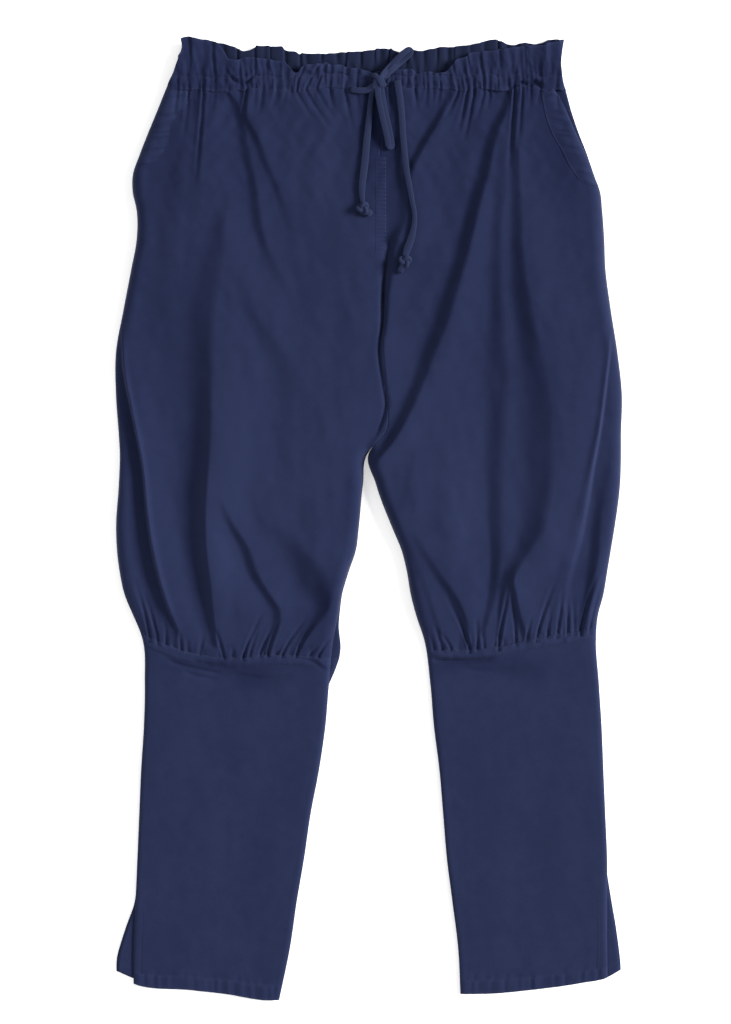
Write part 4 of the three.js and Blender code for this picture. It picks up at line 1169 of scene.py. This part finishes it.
def bow_straps():
    knot_z = float(rest_height(KNOT_X, KNOT_H, 6)) + 3.4
    upper = lay_over(
        [
            (12, 992, 3.2), (16, 998, 2.6), (23, 1007, 2.2), (31, 1015.5, 2.2), (38, 1022, 2.2),
            (43, 1025, 1.6), (45, 1023.5, 0.4), (42, 1019, -0.4), (33.6, 1011.6, -0.4),
            (25, 1003.4, -0.4), (14, 993, 0.4),
        ],
        *STRAP,
    )
    lower = lay_over(
        [
            (9, 988, 3.4), (9.4, 978, 2.6), (12, 963, 2.4), (15.4, 947, 2.4), (19.4, 930, 2.2),
            (21.6, 920.4, 1.4), (24, 919.6, 0.4), (23.4, 928, 0), (19.8, 946, 0), (16.2, 963, 0),
            (13.8, 978, 0.4), (12, 989, 1.4),
        ],
        *STRAP,
    )
    feed = lay_over([(-20, 982, -1), (-12, 980.4, 0.4), (-2, 981, 1.2), (6, 986, 2.4)], *STRAP)
    straps = [(smooth_path(route, 1.6), 6.5, 2.6) for route in (upper, lower, feed)]
    # The knot: a core with three turns of cord over it
    core = [(KNOT_X + 4.5 * k, KNOT_H + 3 * k, knot_z + 1 - abs(k)) for k in (-1, 0, 1)]
    straps.append((smooth_path(core, 1), 10, 5))
    turns = [
        ((4, 981, -1.6), (5.5, 986, 1.8), (10.5, 991.5, 3.2), (14.6, 995.5, 1.6), (17, 997, -1.6)),
        ((17.4, 985, -1.6), (15, 988, 1.6), (10, 993, 2.6), (6, 996, 1.4), (4, 997, -1.6)),
        ((14, 981.5, -1.6), (13.5, 985, 2.2), (12, 989, 4), (9.4, 993, 3.2), (6.4, 997.5, -1)),
    ]
    for turn in turns:
        route = [(x, h, knot_z + z) for x, h, z in turn]
        straps.append((smooth_path(route, 1), 5, 2.4))
    return tube_piece("bow_straps", "drawstring_bow", straps)


bow = bow_straps()
for side, extra in (("right", [bow]), ("left", [])):
    tie, path, knot = ties[side]


# Stitches


THREAD_WIDE = 0.00032
THREAD_HIGH = 0.00022
THREAD_ABOVE = 0.00008


def stitch_line(bm, xs, hs, top):
    """A row of separate stitches along a line of points, on the surface that top gives."""
    run = np.r_[0, np.cumsum(np.hypot(np.diff(xs), np.diff(hs)))]
    starts = np.arange(STITCH_STEP / 2, run[-1] - STITCH_LENGTH, STITCH_STEP)
    ends = []
    for at in (starts, starts + STITCH_LENGTH):
        x, h = np.interp(at, run, xs), np.interp(at, run, hs)
        z = top(x, h)
        x, h = pulled(x, h)
        ends.append([Vector(p) for p in zip(x * MM, to_y(h), z * MM)])
    for p, q in zip(*ends):
        along = q - p
        if along.length < 1e-5:
            continue
        turn = along.to_track_quat("X", "Z").to_matrix().to_4x4()
        size = Matrix.Diagonal((along.length / 2, THREAD_WIDE, THREAD_HIGH, 1))
        place = Matrix.Translation((p + q) / 2 + Vector((0, 0, THREAD_ABOVE)))
        bmesh.ops.create_icosphere(bm, subdivisions=1, radius=1, matrix=place @ turn @ size)


def stitched(name, slot, draw):
    bm = bmesh.new()
    draw(bm)
    piece = add_piece(name, bm, THREAD)
    lay_uv(piece.data, *vertex_places(piece.data).T[:2])
    finish_piece(piece, slot)


def draw_leg_stitches(bm):
    for side in SIDES:
        for row in (KNEE_SEAM - 9.5, KNEE_SEAM - 2, HEM_STITCH):
            low, high = panel_edges(side, np.array([float(row)]), "front")
            xs = np.linspace(float(low[0]) + 3, float(high[0]) - 3, 160)
            rows = np.full_like(xs, float(row))
            tops = front_top(side, xs, rows)
            stitch_line(bm, xs, level(xs, rows), lambda x, h: np.interp(x, xs, tops))
        # Beside the side slit and across its top
        slit_top = SLIT_TOP[side]
        hs = np.linspace(HEM_STITCH + 1, slit_top, 80)
        xs = outline(side + "_outer", hs) - AWAY[side] * 10
        tops = front_top(side, xs, hs)
        stitch_line(bm, xs, hs, lambda x, h: np.interp(h, hs, tops))
        hs = np.full(12, float(slit_top))
        xs = outline(side + "_outer", hs) - AWAY[side] * np.linspace(1.5, 10, 12)
        stitch_line(bm, xs, hs, lambda x, h: front_top(side, x, h))
        # Pocket band
        rows = POCKET_STITCH[side]
        hs = np.linspace(rows[0][0] + 1, WAIST_SEAM - 3, 120)
        xs = straight(rows, 1, hs)
        stitch_line(bm, xs, hs, lambda x, h: front_top(side, x, h) + 0.05)


def draw_waist_stitches(bm):
    xs = np.linspace(-208, 204, 500)
    for h in (CASING_STITCH, WAIST_SEAM):
        stitch_line(bm, xs, np.full_like(xs, h), band_top)


def draw_fly_stitches(bm):
    hs = np.linspace(FLY["low"] + 1, FLY["high"] - 1, 80)
    for x in (FLY["left"] + 1.4, FLY["right"] - 1.4):
        stitch_line(bm, np.full_like(hs, x), hs, lambda x, h: cloth_top(x, h) + 0.2)
    hs = np.linspace(612, FLY["low"] - 2, 140)
    stitch_line(bm, outline("left_inner", hs) + 2.2, hs, lambda x, h: front_top("left", x, h))


stitched("leg_stitches", "navy_cotton", draw_leg_stitches)
stitched("waist_stitches", "navy_cotton", draw_waist_stitches)
stitched("fly_stitches", "navy_trim", draw_fly_stitches)


# Floor and light


WHITE = (1, 1, 1, 1)
FLOOR_REACH = 4
FLOOR_BELOW = 0.0003
# The floor gives off a little light, as a light table does, so that its shadows stay pale.
FLOOR_LOOKS = {
    "Base Color": (0.9, 0.9, 0.9, 1),
    "Roughness": 0.9,
    "Emission Color": WHITE,
    "Emission Strength": 0.35,
}


def add_floor():
    bm = bmesh.new()
    bmesh.ops.create_grid(bm, x_segments=1, y_segments=1, size=FLOOR_REACH)
    bmesh.ops.translate(bm, verts=bm.verts, vec=(0, 0, -FLOOR_BELOW))
    material = bpy.data.materials.new("pale floor")
    material.use_nodes = True
    fill_in(material.node_tree.nodes["Principled BSDF"], FLOOR_LOOKS)
    add_piece("floor", bm, material)


def add_light(name, location, size, energy):
    data = bpy.data.lights.new(name, "AREA")
    data.shape = "DISK"
    data.size = size
    data.energy = energy
    light = bpy.data.objects.new(name, data)
    light.location = location
    direction = Vector((0, 0.05, 0)) - Vector(location)
    light.rotation_euler = direction.to_track_quat("-Z", "Y").to_euler()
    bpy.context.scene.collection.objects.link(light)


add_floor()
add_light("key", (12.8, 2.24, 6.48), 5.76, 4864)
add_light("fill", (-2.6, -0.6, 2.2), 1.8, 32)
WORLD_LIGHT = 0.59
world = bpy.data.worlds.new("studio")
world.use_nodes = True
fill_in(world.node_tree.nodes["Background"], {"Color": WHITE, "Strength": WORLD_LIGHT})
bpy.context.scene.world = world
bpy.context.scene.view_settings.view_transform = "Standard"
